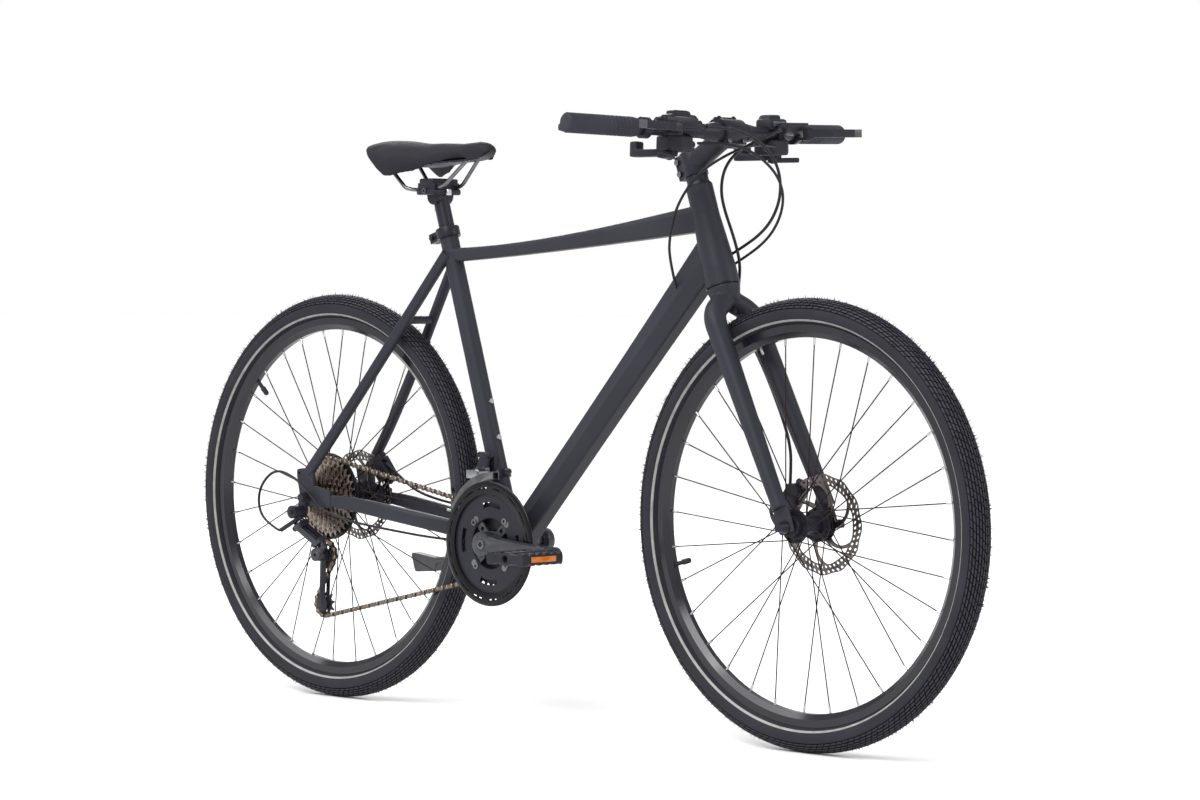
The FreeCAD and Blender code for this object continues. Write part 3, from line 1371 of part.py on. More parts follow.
def hub(centre, left_side, right_side, left_end, right_end, pairs):
    # Shell with two flanges and a disc seat on the left; a sealed bearing sits in each end.
    half = flange_thick / 2
    outline = [(hub_bore, -right_end), (hub_barrel * 1.15, -right_end), (hub_barrel * 1.25, -right_side - half),
               (flange_radius, -right_side - half), (flange_radius, -right_side + half),
               (hub_barrel, -right_side + half), (hub_barrel, left_side - half),
               (flange_radius, left_side - half), (flange_radius, left_side + half),
               (hub_barrel * 1.35, left_side + half), (hub_barrel * 1.35, left_end - half * 2),
               (rotor_hub * 0.95, left_end - half * 2), (rotor_hub * 0.95, left_end), (hub_bore, left_end)]
    body = turned(outline, centre)
    holes = []
    for start, end, side in pairs:
        base = vec(start.x, side, start.z)
        reach = sideways * (flange_thick * 1.4)
        holes.append(rod(base - reach, base + reach, spoke_radius + running_fit))
    body = body.cut(holes)
    inner = axle_radius + running_fit
    bearings = []
    for low in (-right_end, left_end - bearing_height):
        bearings.append(turned([(inner, low), (hub_bore, low), (hub_bore, low + bearing_height),
                                (inner, low + bearing_height)], centre))
    return Part.makeCompound([biggest(body)] + bearings)


def axle(centre, width, tab, right_inner, left_inner):
    # Hollow axle with locknuts against the dropouts, and the skewer with its nut and cam.
    half = width / 2
    shaft = rod(centre - sideways * (half + tab * 0.8), centre + sideways * (half + tab * 0.8), axle_radius)
    for side, inner in ((-1, right_inner), (1, left_inner)):
        shaft = shaft.fuse(rod(centre + sideways * (side * inner), centre + sideways * (side * half), locknut_radius))
    shaft = shaft.cut(rod(centre - sideways * width, centre + sideways * width, skewer_radius + running_fit))
    face = half + tab
    skewer = rod(centre - sideways * (face + skewer_nut_length * 0.8), centre + sideways * (face + cam_length * 0.5),
                 skewer_radius)
    cam = cone(centre + sideways * face, centre + sideways * (face + cam_length), cam_radius * 1.1, cam_radius * 0.8)
    nut = cone(centre - sideways * face, centre - sideways * (face + skewer_nut_length), skewer_nut_radius,
               skewer_nut_radius * 0.7)
    return Part.makeCompound([shaft, biggest(skewer.fuse([cam, nut]))])


def skewer_lever(centre, face):
    # Cam barrel with a flat lever that lies rearwards when it is closed.
    pivot = centre + sideways * (face + cam_length + cam_radius + seat_gap)
    half = skewer_lever_wide / 2
    barrel = rod(pivot - upward * half, pivot + upward * half, cam_radius)
    side = pivot.y
    thick = skewer_lever_thick
    bow = thick * 1.1
    outline = [(pivot.x, side - thick / 2), (pivot.x, side + thick), (pivot.x - skewer_lever_length * 0.55, side + thick / 2),
               (pivot.x - skewer_lever_length, side - bow), (pivot.x - skewer_lever_length, side - bow - thick),
               (pivot.x - skewer_lever_length * 0.5, side - thick)]
    arm = plate_level(outline, thick * 0.4, pivot.z - half, skewer_lever_wide)
    return barrel.fuse(arm).removeSplitter()


def build_protector():
    # Thin disc between the spokes and the largest sprocket, clipped over the hub's shoulder.
    inner = hub_barrel * 1.25
    outer = rotor_radius * 0.96
    return turned([(inner, -protector_side), (outer, -protector_side), (outer, protector_thick - protector_side),
                   (inner, protector_thick - protector_side)], rear_axle_at)


# Drivetrain

def pitch_radius(teeth):
    return pitch / (2 * math.sin(math.pi / teeth))


def toothed_disc(centre, side, teeth, thick, bore, phase):
    # Each gap is an arc a little larger than the chain roller; flanks run straight to a flat tip.
    radius = pitch_radius(teeth)
    seat = roller_radius + seat_clearance
    tip = radius + tooth_height
    gap = 2 * math.pi / teeth
    edges = []
    base = centre + sideways * (side - thick / 2)

    def at(r, angle):
        return base + vec(r * math.cos(angle), 0, r * math.sin(angle))

    def seat_point_at(angle, turn):
        middle = at(radius, angle)
        heading = angle + math.pi + turn
        return middle + vec(seat * math.cos(heading), 0, seat * math.sin(heading))

    spread = math.radians(62)
    for i in range(teeth):
        angle = phase + i * gap
        start = seat_point_at(angle, spread)
        end = seat_point_at(angle, -spread)
        edges.append(Part.Arc(start, seat_point_at(angle, 0), end).toShape())
        crest = at(tip, angle + gap * (0.5 - tooth_tip_share / 2))
        crest_end = at(tip, angle + gap * (0.5 + tooth_tip_share / 2))
        following = seat_point_at(angle + gap, spread)
        edges.append(Part.LineSegment(end, crest).toShape())
        edges.append(Part.LineSegment(crest, crest_end).toShape())
        edges.append(Part.LineSegment(crest_end, following).toShape())
    face = Part.Face(Part.Wire(edges))
    disc = face.extrude(sideways * thick)
    return disc.cut(rod(base - sideways * overrun, base + sideways * overrun, bore))


guide_at = rear_axle_at + vec(-guide_pulley_back, 0, -guide_pulley_gap)


def tangent_run(first, second):
    # Straight run between two wheels; each wheel has a centre, a radius and the sense that it turns.
    (c1, r1, s1), (c2, r2, s2) = first, second
    across = (c2[0] - c1[0], c2[1] - c1[1])
    distance = math.hypot(*across)
    heading = math.atan2(across[1], across[0]) - math.asin((s1 * r1 - s2 * r2) / distance)
    normal = (-math.sin(heading), math.cos(heading))
    start = (c1[0] + s1 * r1 * normal[0], c1[1] + s1 * r1 * normal[1])
    end = (c2[0] + s2 * r2 * normal[0], c2[1] + s2 * r2 * normal[1])
    return start, end


def chain_wheels(cage_angle):
    turn = math.radians(cage_angle)
    ring = ((bracket_at.x, bracket_at.z), pitch_radius(ring_teeth[2]), 1)
    tension = ((guide_at.x + cage_length * math.cos(turn), guide_at.z + cage_length * math.sin(turn)),
               pitch_radius(pulley_teeth), 1)
    guide = ((guide_at.x, guide_at.z), pitch_radius(pulley_teeth), -1)
    cog = ((rear_axle_at.x, rear_axle_at.z), pitch_radius(cog_teeth[0]), 1)
    return [ring, tension, guide, cog]


def chain_path(cage_angle):
    # Pieces of the path in turn: a run to the next wheel, then the arc round it.
    wheels = chain_wheels(cage_angle)
    sides = [-ring_side[2], -largest_cog_side, -largest_cog_side, -largest_cog_side]
    runs = [tangent_run(wheels[i], wheels[(i + 1) % 4]) for i in range(4)]
    pieces = []
    for i in range(4):
        start, end = runs[i]
        pieces.append(("run", start, end, sides[i], sides[(i + 1) % 4], math.dist(start, end)))
        centre, radius, sense = wheels[(i + 1) % 4]
        leave = runs[(i + 1) % 4][0]
        a1 = math.atan2(end[1] - centre[1], end[0] - centre[0])
        a2 = math.atan2(leave[1] - centre[1], leave[0] - centre[0])
        sweep_angle = (a1 - a2) % (2 * math.pi) if sense > 0 else (a2 - a1) % (2 * math.pi)
        pieces.append(("arc", centre, (radius, a1, -sense), sides[(i + 1) % 4], None, radius * sweep_angle))
    return pieces


def path_point(pieces, distance):
    total = sum(piece[5] for piece in pieces)
    distance = distance % total
    for kind, first, second, side, side_end, length in pieces:
        if distance <= length:
            if kind == "run":
                share = distance / length
                lead = pitch * straight_links
                drift = min(max((distance - lead) / (length - lead * 2), 0), 1) if length > lead * 3 else share
                return vec(first[0] + (second[0] - first[0]) * share, side + (side_end - side) * drift,
                           first[1] + (second[1] - first[1]) * share)
            radius, angle, sense = second
            turn = angle + sense * distance / radius
            return vec(first[0] + radius * math.cos(turn), side, first[1] + radius * math.sin(turn))
        distance -= length
    return path_point(pieces, 0)


def march(pieces, count):
    # Pin places one pitch apart, starting on the first run; returns them with the distance covered.
    distance = 0.0
    places = [path_point(pieces, distance)]
    for i in range(count):
        low = distance + pitch * 0.9
        high = distance + pitch * 1.2
        for step in range(40):
            middle = (low + high) / 2
            if (path_point(pieces, middle) - places[-1]).Length < pitch:
                low = middle
            else:
                high = middle
        distance = (low + high) / 2
        places.append(path_point(pieces, distance))
    return places, distance


def solve_chain():
    # The cage swings until a whole, even number of links closes the loop.
    def spare(angle, count):
        pieces = chain_path(angle)
        return march(pieces, count)[1] - sum(piece[5] for piece in pieces)

    length = sum(piece[5] for piece in chain_path(cage_angle_aim))
    count = 2 * round(length / pitch / 2)
    swing = 24.0
    low = cage_angle_aim - swing
    high = cage_angle_aim + swing
    rising = spare(high, count) > spare(low, count)
    for step in range(30):
        middle = (low + high) / 2
        if (spare(middle, count) > 0) == rising:
            high = middle
        else:
            low = middle
    angle = (low + high) / 2
    print("chain links", count, "cage angle", round(angle, 2), "left over", round(spare(angle, count), 4))
    return angle, march(chain_path(angle), count)[0][:-1]


cage_angle, pins = solve_chain()
cage_turn = math.radians(cage_angle)
tension_at = guide_at + vec(math.cos(cage_turn), 0, math.sin(cage_turn)) * cage_length


def phase_on(centre, teeth):
    # Angle of a pin that lies on this wheel's pitch circle.
    def miss(pin):
        return abs(math.hypot(pin.x - centre.x, pin.z - centre.z) - pitch_radius(teeth))
    on_wheel = min(pins, key=miss)
    return math.atan2(on_wheel.z - centre.z, on_wheel.x - centre.x)


def link_plate_solid(side, thick):
    # Waisted plate about two pin holes, along local X, from one side along local Y.
    half = plate_height / 2
    waist = half * 0.7
    upper = Part.Arc(vec(0, side, half), vec(pitch / 2, side, waist), vec(pitch, side, half)).toShape()
    right = Part.Arc(vec(pitch, side, half), vec(pitch + half, side, 0), vec(pitch, side, -half)).toShape()
    lower = Part.Arc(vec(pitch, side, -half), vec(pitch / 2, side, -waist), vec(0, side, -half)).toShape()
    left = Part.Arc(vec(0, side, -half), vec(-half, side, 0), vec(0, side, half)).toShape()
    return Part.Face(Part.Wire([upper, right, lower, left])).extrude(sideways * thick)


def chain_links():
    inner_face = chain_inner_width / 2
    outer_face = inner_face + link_plate + plate_gap
    ends = (vec(0, 0, 0), vec(pitch, 0, 0))
    inner = [link_plate_solid(inner_face, link_plate), link_plate_solid(-inner_face - link_plate, link_plate)]
    inner += [rod(end - sideways * inner_face, end + sideways * inner_face, roller_radius) for end in ends]
    inner_link = inner[0].fuse(inner[1:])
    for end in ends:
        inner_link = inner_link.cut(rod(end - sideways * overrun, end + sideways * overrun, pin_radius + plate_gap))
    outer = [link_plate_solid(outer_face, link_plate), link_plate_solid(-outer_face - link_plate, link_plate)]
    reach = sideways * (outer_face + link_plate + plate_gap * 2)
    outer += [rod(end - reach, end + reach, pin_radius) for end in ends]
    return inner_link, outer[0].fuse(outer[1:])


def build_chain():
    inner_link, outer_link = chain_links()
    solids = []
    for i, pin in enumerate(pins):
        along = (pins[(i + 1) % len(pins)] - pin).normalize()
        up = along.cross(sideways).normalize() * -1
        side = up.cross(along).normalize()
        middle = (pins[(i + 1) % len(pins)] + pin) / 2 - along * (pitch / 2)
        place = FreeCAD.Placement(FreeCAD.Matrix(along.x, side.x, up.x, middle.x, along.y, side.y, up.y, middle.y,
                                                 along.z, side.z, up.z, middle.z, 0, 0, 0, 1))
        solids.append(moved(inner_link if i % 2 else outer_link, place))
    return Part.makeCompound(solids)


def build_cassette():
    solids = []
    bore = freehub_radius
    for i, teeth in enumerate(cog_teeth):
        side = -largest_cog_side - cog_spacing * i
        phase = phase_on(rear_axle_at, teeth) if i == 0 else 0.1 * i
        solids.append(toothed_disc(rear_axle_at, side, teeth, tooth_thick, bore, phase))
        if i:
            solids.append(turned([(bore, side + tooth_thick / 2), (spacer_ring, side + tooth_thick / 2),
                                  (spacer_ring, side + cog_spacing - tooth_thick / 2),
                                  (bore, side + cog_spacing - tooth_thick / 2)], rear_axle_at))
    last = -largest_cog_side - cog_spacing * (len(cog_teeth) - 1) - tooth_thick / 2
    first = -largest_cog_side + tooth_thick / 2
    inner = axle_radius + running_fit
    solids.append(turned([(inner, first), (freehub_radius, first), (freehub_radius, last), (inner, last)], rear_axle_at))
    lock = last - tooth_thick * 0.7
    solids.append(turned([(locknut_radius + body_gap, last), (freehub_radius, last), (freehub_radius * 0.95, lock),
                          (locknut_radius + body_gap, lock)], rear_axle_at))
    return Part.makeCompound(solids)


def crank_point(side):
    turn = math.radians(crank_angle)
    return bracket_at + vec(math.cos(turn), 0, math.sin(turn)) * (crank_length * -side)


def crank_arm(side):
    # Side 1 is the left arm, which points back when the right one points forward.
    end = crank_point(side)
    inner = sideways * (crank_inner * side)
    outer = sideways * ((crank_inner + crank_thick) * side)
    step = sideways * (crank_thick * 0.12 * side)
    boss = rod(bracket_at + inner, bracket_at + outer - step, crank_boss)
    tip = rod(end + inner + step * 2, end + outer, crank_end)
    along = (end - bracket_at).normalize()
    across = along.cross(sideways).normalize()
    rings = []
    for share, half in ((0.0, crank_boss * 0.92), (0.35, crank_end * 0.98), (1.0, crank_end * 0.9)):
        low = inner + step * (1 + share)
        high = outer - step * (1 - share)
        middle = bracket_at + along * (crank_length * share)
        points = [middle + low + across * half, middle + high + across * (half * 0.75),
                  middle + high - across * (half * 0.75), middle + low - across * half]
        rings.append(rounded_outline(points, crank_thick * 0.15))
    body = boss.fuse([tip, Part.makeLoft(rings, True, True)])
    body = body.cut(rod(bracket_at - outer * 2, bracket_at + outer * 2, spindle_radius))
    body = body.cut(rod(end - outer * 2, end + outer * 2, pedal_axle_radius))
    return body


def spider():
    # Four arms that carry the two large rings between them and the small ring on inner bosses.
    tab_in = -ring_side[1] - ring_thick / 2
    tab_out = -ring_side[0] + ring_thick / 2
    tab = tab_in - tab_out
    base = bracket_at + sideways * tab_out
    centre = rod(base, bracket_at - sideways * crank_inner, crank_boss * 0.95)
    hub_plate = rod(base, base + sideways * tab, crank_boss)
    arms = []
    far = base + forward * spider_circle
    near = base + forward * inner_circle
    arm = rod(far, far + sideways * tab, spider_boss)
    half = spider_boss * 0.85
    arm = arm.fuse(block(base - upward * half, vec(spider_circle, tab, half * 2)))
    inner_boss = rod(near, bracket_at + near - base - bracket_at + base - sideways * (tab_out + ring_side[2] + ring_thick / 2),
                     spider_boss * 0.7)
    arm = arm.fuse(inner_boss)
    arms = ring_of(arm, bracket_at, 4, 45.0 - crank_angle)
    body = centre.fuse([hub_plate] + arms)
    for circle in (spider_circle, inner_circle):
        hole = bracket_at + forward * circle
        body = body.cut(ring_of(rod(hole - sideways * (overrun * 3), hole + sideways * overrun, chain_bolt), bracket_at, 4,
                                45.0 - crank_angle))
    return body.cut(rod(bracket_at - sideways * (overrun * 4), bracket_at + sideways * overrun, spindle_radius))


def build_crank_arms():
    right = crank_arm(-1).fuse(spider())
    return Part.makeCompound([biggest(right), biggest(crank_arm(1))])


def build_chainrings():
    solids = []
    for teeth, side in zip(ring_teeth, ring_side):
        circle = inner_circle if teeth == ring_teeth[2] else spider_circle
        phase = phase_on(bracket_at, teeth) if teeth == ring_teeth[2] else 0.0
        ring = toothed_disc(bracket_at, -side, teeth, ring_thick, circle - spider_boss, phase)
        hole = bracket_at + forward * circle
        ring = ring.cut(ring_of(rod(hole - sideways * (overrun * 3), hole + sideways * overrun, chain_bolt), bracket_at, 4,
                                45.0 - crank_angle))
        if teeth != ring_teeth[2]:
            low = -side - overrun
            window = sector(bracket_at, circle + spider_boss * 1.1, pitch_radius(teeth) - roller_radius * 3, 50.0, low,
                            overrun * 2)
            if pitch_radius(teeth) - roller_radius * 3 > circle + spider_boss * 1.6:
                ring = ring.cut(ring_of(window, bracket_at, 4, -crank_angle))
        solids.append(biggest(ring))
    return Part.makeCompound(solids)


def build_chain_guard():
    # Slotted ring outside the large chainring, on four bosses.
    low = -guard_side - guard_thick
    ring = turned([(guard_inner, low), (guard_radius, low), (guard_radius, low + guard_thick),
                   (guard_inner, low + guard_thick)], bracket_at)
    middle = (guard_inner + guard_radius) / 2
    span = 360.0 / guard_slots * guard_slot_share
    slot = sector(bracket_at, middle - guard_slot_half, middle + guard_slot_half, span, low - overrun, overrun * 2)
    ring = ring.cut(ring_of(slot, bracket_at, guard_slots))
    foot = bracket_at + forward * (guard_inner + guard_slot_half)
    face = -ring_side[0] - ring_thick / 2
    boss = rod(foot + sideways * face, foot + sideways * (low + guard_thick), guard_slot_half)
    return biggest(ring.fuse(ring_of(boss, bracket_at, 4, 15.0)))


def build_crank_spindle():
    # Steel spindle with its two end bolts, the chainring bolts and the two pedal axles.
    outer = crank_inner + crank_thick
    pieces = [rod(bracket_at - sideways * (outer * 0.9), bracket_at + sideways * (outer * 0.9), spindle_radius)]
    for side in (-1, 1):
        pieces.append(rod(bracket_at + sideways * (outer * 0.9 * side), bracket_at + sideways * (outer * 0.97 * side),
                          spindle_radius))
        end = crank_point(side)
        pieces.append(rod(end + sideways * ((crank_inner + crank_thick * 0.24) * side),
                          end + sideways * ((pedal_inner + pedal_width * 0.9) * side), pedal_axle_radius))
    outer_face = -ring_side[0] - ring_thick / 2
    inner_face = -ring_side[1] + ring_thick / 2
    hole = bracket_at + forward * spider_circle
    bolt = rod(hole + sideways * outer_face, hole + sideways * inner_face, chain_bolt)
    bolt = bolt.fuse(rod(hole + sideways * (outer_face - ring_thick * 0.5), hole + sideways * outer_face, chain_bolt_head))
    pieces += ring_of(bolt, bracket_at, 4, 45.0 - crank_angle)
    hole = bracket_at + forward * inner_circle
    bolt = rod(hole - sideways * (ring_side[1] + ring_thick / 2), hole - sideways * (ring_side[2] - ring_thick), chain_bolt)
    pieces += ring_of(bolt, bracket_at, 4, 45.0 - crank_angle)
    return Part.makeCompound(pieces)


def pedal(side):
    # Platform: a barrel on the axle, front and rear bars with a row of teeth, and two end plates.
    end = crank_point(side)
    low = min(pedal_inner * side, (pedal_inner + pedal_width) * side)
    half = pedal_length / 2
    tall = pedal_thick / 2
    barrel = rod(end + sideways * low, end + sideways * (low + pedal_width), pedal_barrel)
    parts = []
    for ahead in (-1, 1):
        inner = half - pedal_bar
        outline = [(ahead * inner, -tall), (ahead * half * 0.96, -tall), (ahead * half, 0), (ahead * half * 0.96, tall),
                   (ahead * inner, tall)]
        points = [(end.x + x, end.z + z) for x, z in outline]
        bar = plate(points, pedal_bar * 0.12, end.y + low, pedal_width)
        for i in range(5):
            notch = low + pedal_width * (i + 0.75) / 5.5
            bar = bar.cut(block(end + vec(ahead * half - pedal_bar, notch, tall - pedal_bar * 0.2),
                                vec(pedal_bar * 2, pedal_bar * 0.5, pedal_bar)))
            bar = bar.cut(block(end + vec(ahead * half - pedal_bar, notch, -tall - pedal_bar * 0.8),
                                vec(pedal_bar * 2, pedal_bar * 0.5, pedal_bar)))
        parts.append(bar)
    for at in (low, low + pedal_width - pedal_bar * 0.8):
        parts.append(block(end + vec(-half + pedal_bar * 0.5, at, -tall * 0.75),
                           vec(pedal_length - pedal_bar, pedal_bar * 0.8, tall * 1.5)))
    body = barrel.fuse(parts)
    bore = rod(end - sideways * overrun * 9, end + sideways * overrun * 9, pedal_axle_radius + running_fit)
    return biggest(body.cut(bore))


# Front derailleur

fd_ring_at = seat_point(fd_height)
fd_pivot = vec(fd_ring_at.x - seat_tube_radius / 2, -fd_pivot_side, fd_ring_at.z + fd_pivot_up - fd_band_height)
fd_hinge = fd_pivot + vec(0, -fd_link_out, -fd_link_drop)


def build_fd_clamp():
    low = seat_point(fd_height)
    high = seat_point(fd_height + fd_band_height)
    outer = seat_tube_radius + fd_band_wall
    band = rod(low, high, outer)
    half = forward * (fd_link_length / 2)
    gap = forward * (fd_link_length / 2 + body_gap)
    arm = rod(seat_point(fd_height + fd_band_height / 2), fd_pivot - vec(0, 0, 0), fd_band_wall * 1.6)
    pin = rod(fd_pivot - gap * 1.5, fd_pivot + gap * 1.5, fd_pin)
    ears = []
    for way in (-1, 1):
        start = fd_pivot + gap * way
        ears.append(rod(start, start + forward * (fd_band_wall * way), fd_link_thick))
        back = vec(start.x + fd_band_wall * way * 0.5, -seat_tube_radius * 0.9, start.z - fd_band_wall)
        ears.append(rod(start + forward * (fd_band_wall * way * 0.5), back, fd_band_wall * 0.45))
    bridge = block(vec(fd_pivot.x - gap.x - fd_band_wall, -seat_tube_radius - fd_band_wall, low.z),
                   vec(gap.x * 2 + fd_band_wall * 2, fd_band_wall * 2, fd_pivot.z - low.z))
    body = band.fuse(ears + [pin, bridge])
    bore = rod(seat_point(0), seat_point(fd_height * 3), seat_tube_radius)
    bolt_at = high - seat_dir * (fd_band_height / 2) + seat_normal * outer
    lug = rod(bolt_at - sideways * outer * 0.5, bolt_at + sideways * outer * 0.3, fd_link_thick)
    return biggest(body.fuse(lug).cut(bore))


def build_fd_link():
    half = forward * (fd_link_length / 2)
    ring_a = rod(fd_pivot - half, fd_pivot + half, fd_link_thick)
    ring_b = rod(fd_hinge - half, fd_hinge + half, fd_link_thick)
    along = (fd_hinge - fd_pivot).normalize()
    across = vec(0, -along.z, along.y) * (fd_link_thick * 0.7)
    corners = [fd_pivot - half + across, fd_hinge - half + across, fd_hinge - half - across, fd_pivot - half - across]
    web = Part.Face(Part.makePolygon(corners + [corners[0]])).extrude(half * 2)
    body = ring_a.fuse([ring_b, web])
    for end in (fd_pivot, fd_hinge):
        body = body.cut(rod(end - half * 2, end + half * 2, fd_pin + running_fit))
    return body


def build_fd_cage():
    # Two curved plates either side of the chain, joined by a bridge over the top and a tail screw.
    def curved(side, deep):
        inner = fd_cage_inner - deep
        middle = (fd_cage_from + fd_cage_to) / 2
        span = fd_cage_to - fd_cage_from
        piece = sector(bracket_at, inner, fd_cage_outer, span, -side - fd_plate / 2, fd_plate)
        piece.rotate(bracket_at, sideways, -middle)
        return piece
    inside = curved(fd_plate_inside, 0)
    outside = curved(fd_plate_outside, 0)
    wide = fd_plate_outside - fd_plate_inside
    top = sector(bracket_at, fd_cage_outer - fd_plate, fd_cage_outer, fd_web_to - fd_cage_from, -fd_plate_outside, wide)
    top.rotate(bracket_at, sideways, -(fd_cage_from + fd_web_to) / 2)
    tail_turn = math.radians(fd_cage_to - fd_plate * 2)
    tail = bracket_at + vec(math.cos(tail_turn), 0, math.sin(tail_turn)) * (fd_cage_outer - fd_plate * 2)
    screw = rod(tail - sideways * fd_plate_outside, tail - sideways * fd_plate_inside, fd_plate * 1.3)
    gap = forward * (fd_link_length / 2 + body_gap)
    pin = rod(fd_hinge - gap * 1.4, fd_hinge + gap * 1.4, fd_pin)
    ears = []
    for way in (-1, 1):
        start = fd_hinge + gap * way
        ears.append(rod(start, start + forward * (fd_plate * 2 * way), fd_link_thick * 0.9))
        spot = start + forward * (fd_plate * way)
        reach = math.sqrt(max((fd_cage_outer - fd_plate / 2) ** 2 - (spot.x - bracket_at.x) ** 2, 0))
        foot = vec(spot.x, -(fd_plate_inside + fd_plate), bracket_at.z + reach)
        ears.append(rod(spot, foot, fd_plate))
    return biggest(inside.fuse([outside, top, screw, pin] + ears))


# Rear derailleur

link_top = rear_axle_at + vec(*outer_link_top)
link_end = rear_axle_at + vec(*outer_link_end)
link_run = link_end - link_top
link_level = vec(link_run.x, 0, link_run.z).normalize()
link_axis = link_level.cross(sideways).normalize()
# The two links are furthest apart halfway through their swing.
link_first = math.asin(link_run.y / link_run.Length)
link_last = math.asin((link_run.y - shift_travel) / link_run.Length)
link_middle = (link_first + link_last) / 2
link_across = (sideways * math.cos(link_middle) - link_level * math.sin(link_middle)) * link_offset
print("rear shift range", round(math.degrees(link_first - link_last), 2))
inner_top = link_top + link_across
inner_end = link_end + link_across
link_half = link_axis * (link_radius * 1.3)
fork_half = link_axis * (link_radius * 1.3 + body_gap)
fork_far = link_axis * (link_radius * 2.1 + body_gap)


def link_bar(start, end):
    body = rod(start - link_half, start + link_half, link_radius)
    body = body.fuse(rod(end - link_half, end + link_half, link_radius))
    along = (end - start).normalize()
    across = along.cross(link_axis).normalize() * (link_radius * 0.85)
    corners = [start - link_half + across, end - link_half + across, end - link_half - across, start - link_half - across]
    body = body.fuse(Part.Face(Part.makePolygon(corners + [corners[0]])).extrude(link_half * 2))
    for spot in (start, end):
        body = body.cut(rod(spot - fork_far, spot + fork_far, link_pin + running_fit))
    return body


def clevis(spots, backing):
    # Cheeks either side of the two links, their pins, and a web on the side away from the links.
    pieces = [rod(spot - fork_far, spot + fork_far, link_pin) for spot in spots]
    for way in (-1, 1):
        low = fork_half * way
        thick = (fork_far - fork_half) * way
        discs = [rod(spot + low, spot + low + thick, link_radius) for spot in spots]
        rim_a = [spot + low for spot in spots]
        along = (rim_a[1] - rim_a[0]).normalize()
        across = along.cross(link_axis).normalize() * link_radius
        corners = [rim_a[0] + across, rim_a[1] + across, rim_a[1] - across, rim_a[0] - across]
        web = Part.Face(Part.makePolygon(corners + [corners[0]])).extrude(thick)
        pieces += discs + [web]
        for spot in spots:
            pieces.append(rod(spot + low + thick * 0.5, backing + low + thick * 0.5, link_radius * 0.38))
    spine = rod(backing - fork_far, backing + fork_far, link_radius * 0.9)
    return pieces[0].fuse(pieces[1:] + [spine])


def build_derailleur_bracket():
    # Knuckle bolted to the hanger, with cheeks for the upper pins of both links.
    face = hub_width_rear / 2 + dropout_thick
    outer = face + knuckle_length
    barrel = rod(hanger_at - sideways * face, hanger_at - sideways * outer, knuckle_radius)
    bolt = rod(hanger_at - sideways * (hub_width_rear / 2 + dropout_thick * 0.2), hanger_at - sideways * (outer + 2 * link_pin),
               hanger_bolt)
    middle = (link_top + inner_top) / 2
    lift = (link_top - link_end).normalize()
    backing = middle + vec(lift.x, 0, lift.z).normalize() * (link_radius * 2.6)
    cheeks = clevis((link_top, inner_top), backing)
    neck = rod(backing, hanger_at - sideways * (outer - knuckle_radius), link_radius)
    adjuster = rod(backing, backing + vec(*adjuster_reach), housing_radius * 1.7)
    return biggest(barrel.fuse([bolt, cheeks, neck, adjuster]))


def build_derailleur_knuckle():
    # Barrel on the cage's pivot, with cheeks for the lower pins of both links.
    plate_face = largest_cog_side + cage_outside + cage_plate
    near = guide_at - sideways * (plate_face + body_gap)
    far = guide_at - sideways * (plate_face + body_gap + knuckle_length * 0.8)
    barrel = rod(near, far, knuckle_radius)
    middle = (link_end + inner_end) / 2
    fall = (link_end - link_top).normalize()
    backing = middle + vec(fall.x, 0, fall.z).normalize() * (link_radius * 2.6)
    cheeks = clevis((link_end, inner_end), backing)
    neck = rod(backing, guide_at - sideways * (plate_face + knuckle_length * 0.5), link_radius * 1.1)
    body = barrel.fuse([cheeks, neck])
    return biggest(body.cut(rod(guide_at, guide_at - sideways * (plate_face + knuckle_length), pulley_bolt + running_fit)))


def build_derailleur_cage():
    # Two plates joined by the two pulley bolts; the upper bolt runs on into the knuckle.
    inner_side = -largest_cog_side + cage_outside - cage_plate
    outer_side = -largest_cog_side - cage_outside
    plates = []
    along = (tension_at - guide_at).normalize()
    across = vec(along.z, 0, -along.x)
    for side, wide in ((inner_side, 0.62), (outer_side - cage_plate, 1.0)):
        ends = []
        for spot, radius in ((guide_at, knuckle_radius * wide), (tension_at, knuckle_radius * 1.25 * wide)):
            ends.append(rod(spot + sideways * side, spot + sideways * (side + cage_plate), radius))
        a = guide_at + sideways * side
        b = tension_at + sideways * side
        corners = [a + across * (knuckle_radius * 0.7 * wide), b + across * (knuckle_radius * 0.6 * wide),
                   b - across * (knuckle_radius * 0.6 * wide), a - across * (knuckle_radius * 0.7 * wide)]
        web = Part.Face(Part.makePolygon(corners + [corners[0]])).extrude(sideways * cage_plate)
        plates.append(ends[0].fuse([ends[1], web]))
    pivot_end = largest_cog_side + cage_outside + knuckle_length * 0.7
    bolts = [rod(guide_at + sideways * (inner_side + cage_plate), guide_at - sideways * pivot_end, pulley_bolt),
             rod(tension_at + sideways * (inner_side + cage_plate * 1.6), tension_at + sideways * (outer_side - cage_plate * 1.6),
                 pulley_bolt)]
    return biggest(plates[0].fuse([plates[1]] + bolts))


def pulley(centre):
    phase = phase_on(centre, pulley_teeth)
    wheel = toothed_disc(centre, -largest_cog_side, pulley_teeth, pulley_thick, pulley_bolt + running_fit, phase)
    side = -largest_cog_side
    reach = cage_outside - body_gap
    sleeve = rod(centre + sideways * (side - reach), centre + sideways * (side + reach - cage_plate), pulley_bolt * 1.8)
    bore = rod(centre + sideways * (side - overrun), centre + sideways * (side + overrun), pulley_bolt + running_fit)
    window = rod(centre + vec(pitch_radius(pulley_teeth) * 0.56, side - overrun, 0),
                 centre + vec(pitch_radius(pulley_teeth) * 0.56, side + overrun, 0), pulley_bolt * 1.2)
    return biggest(wheel.fuse(sleeve).cut(bore).cut(ring_of(window, centre, 5)))


# Cables and small fasteners

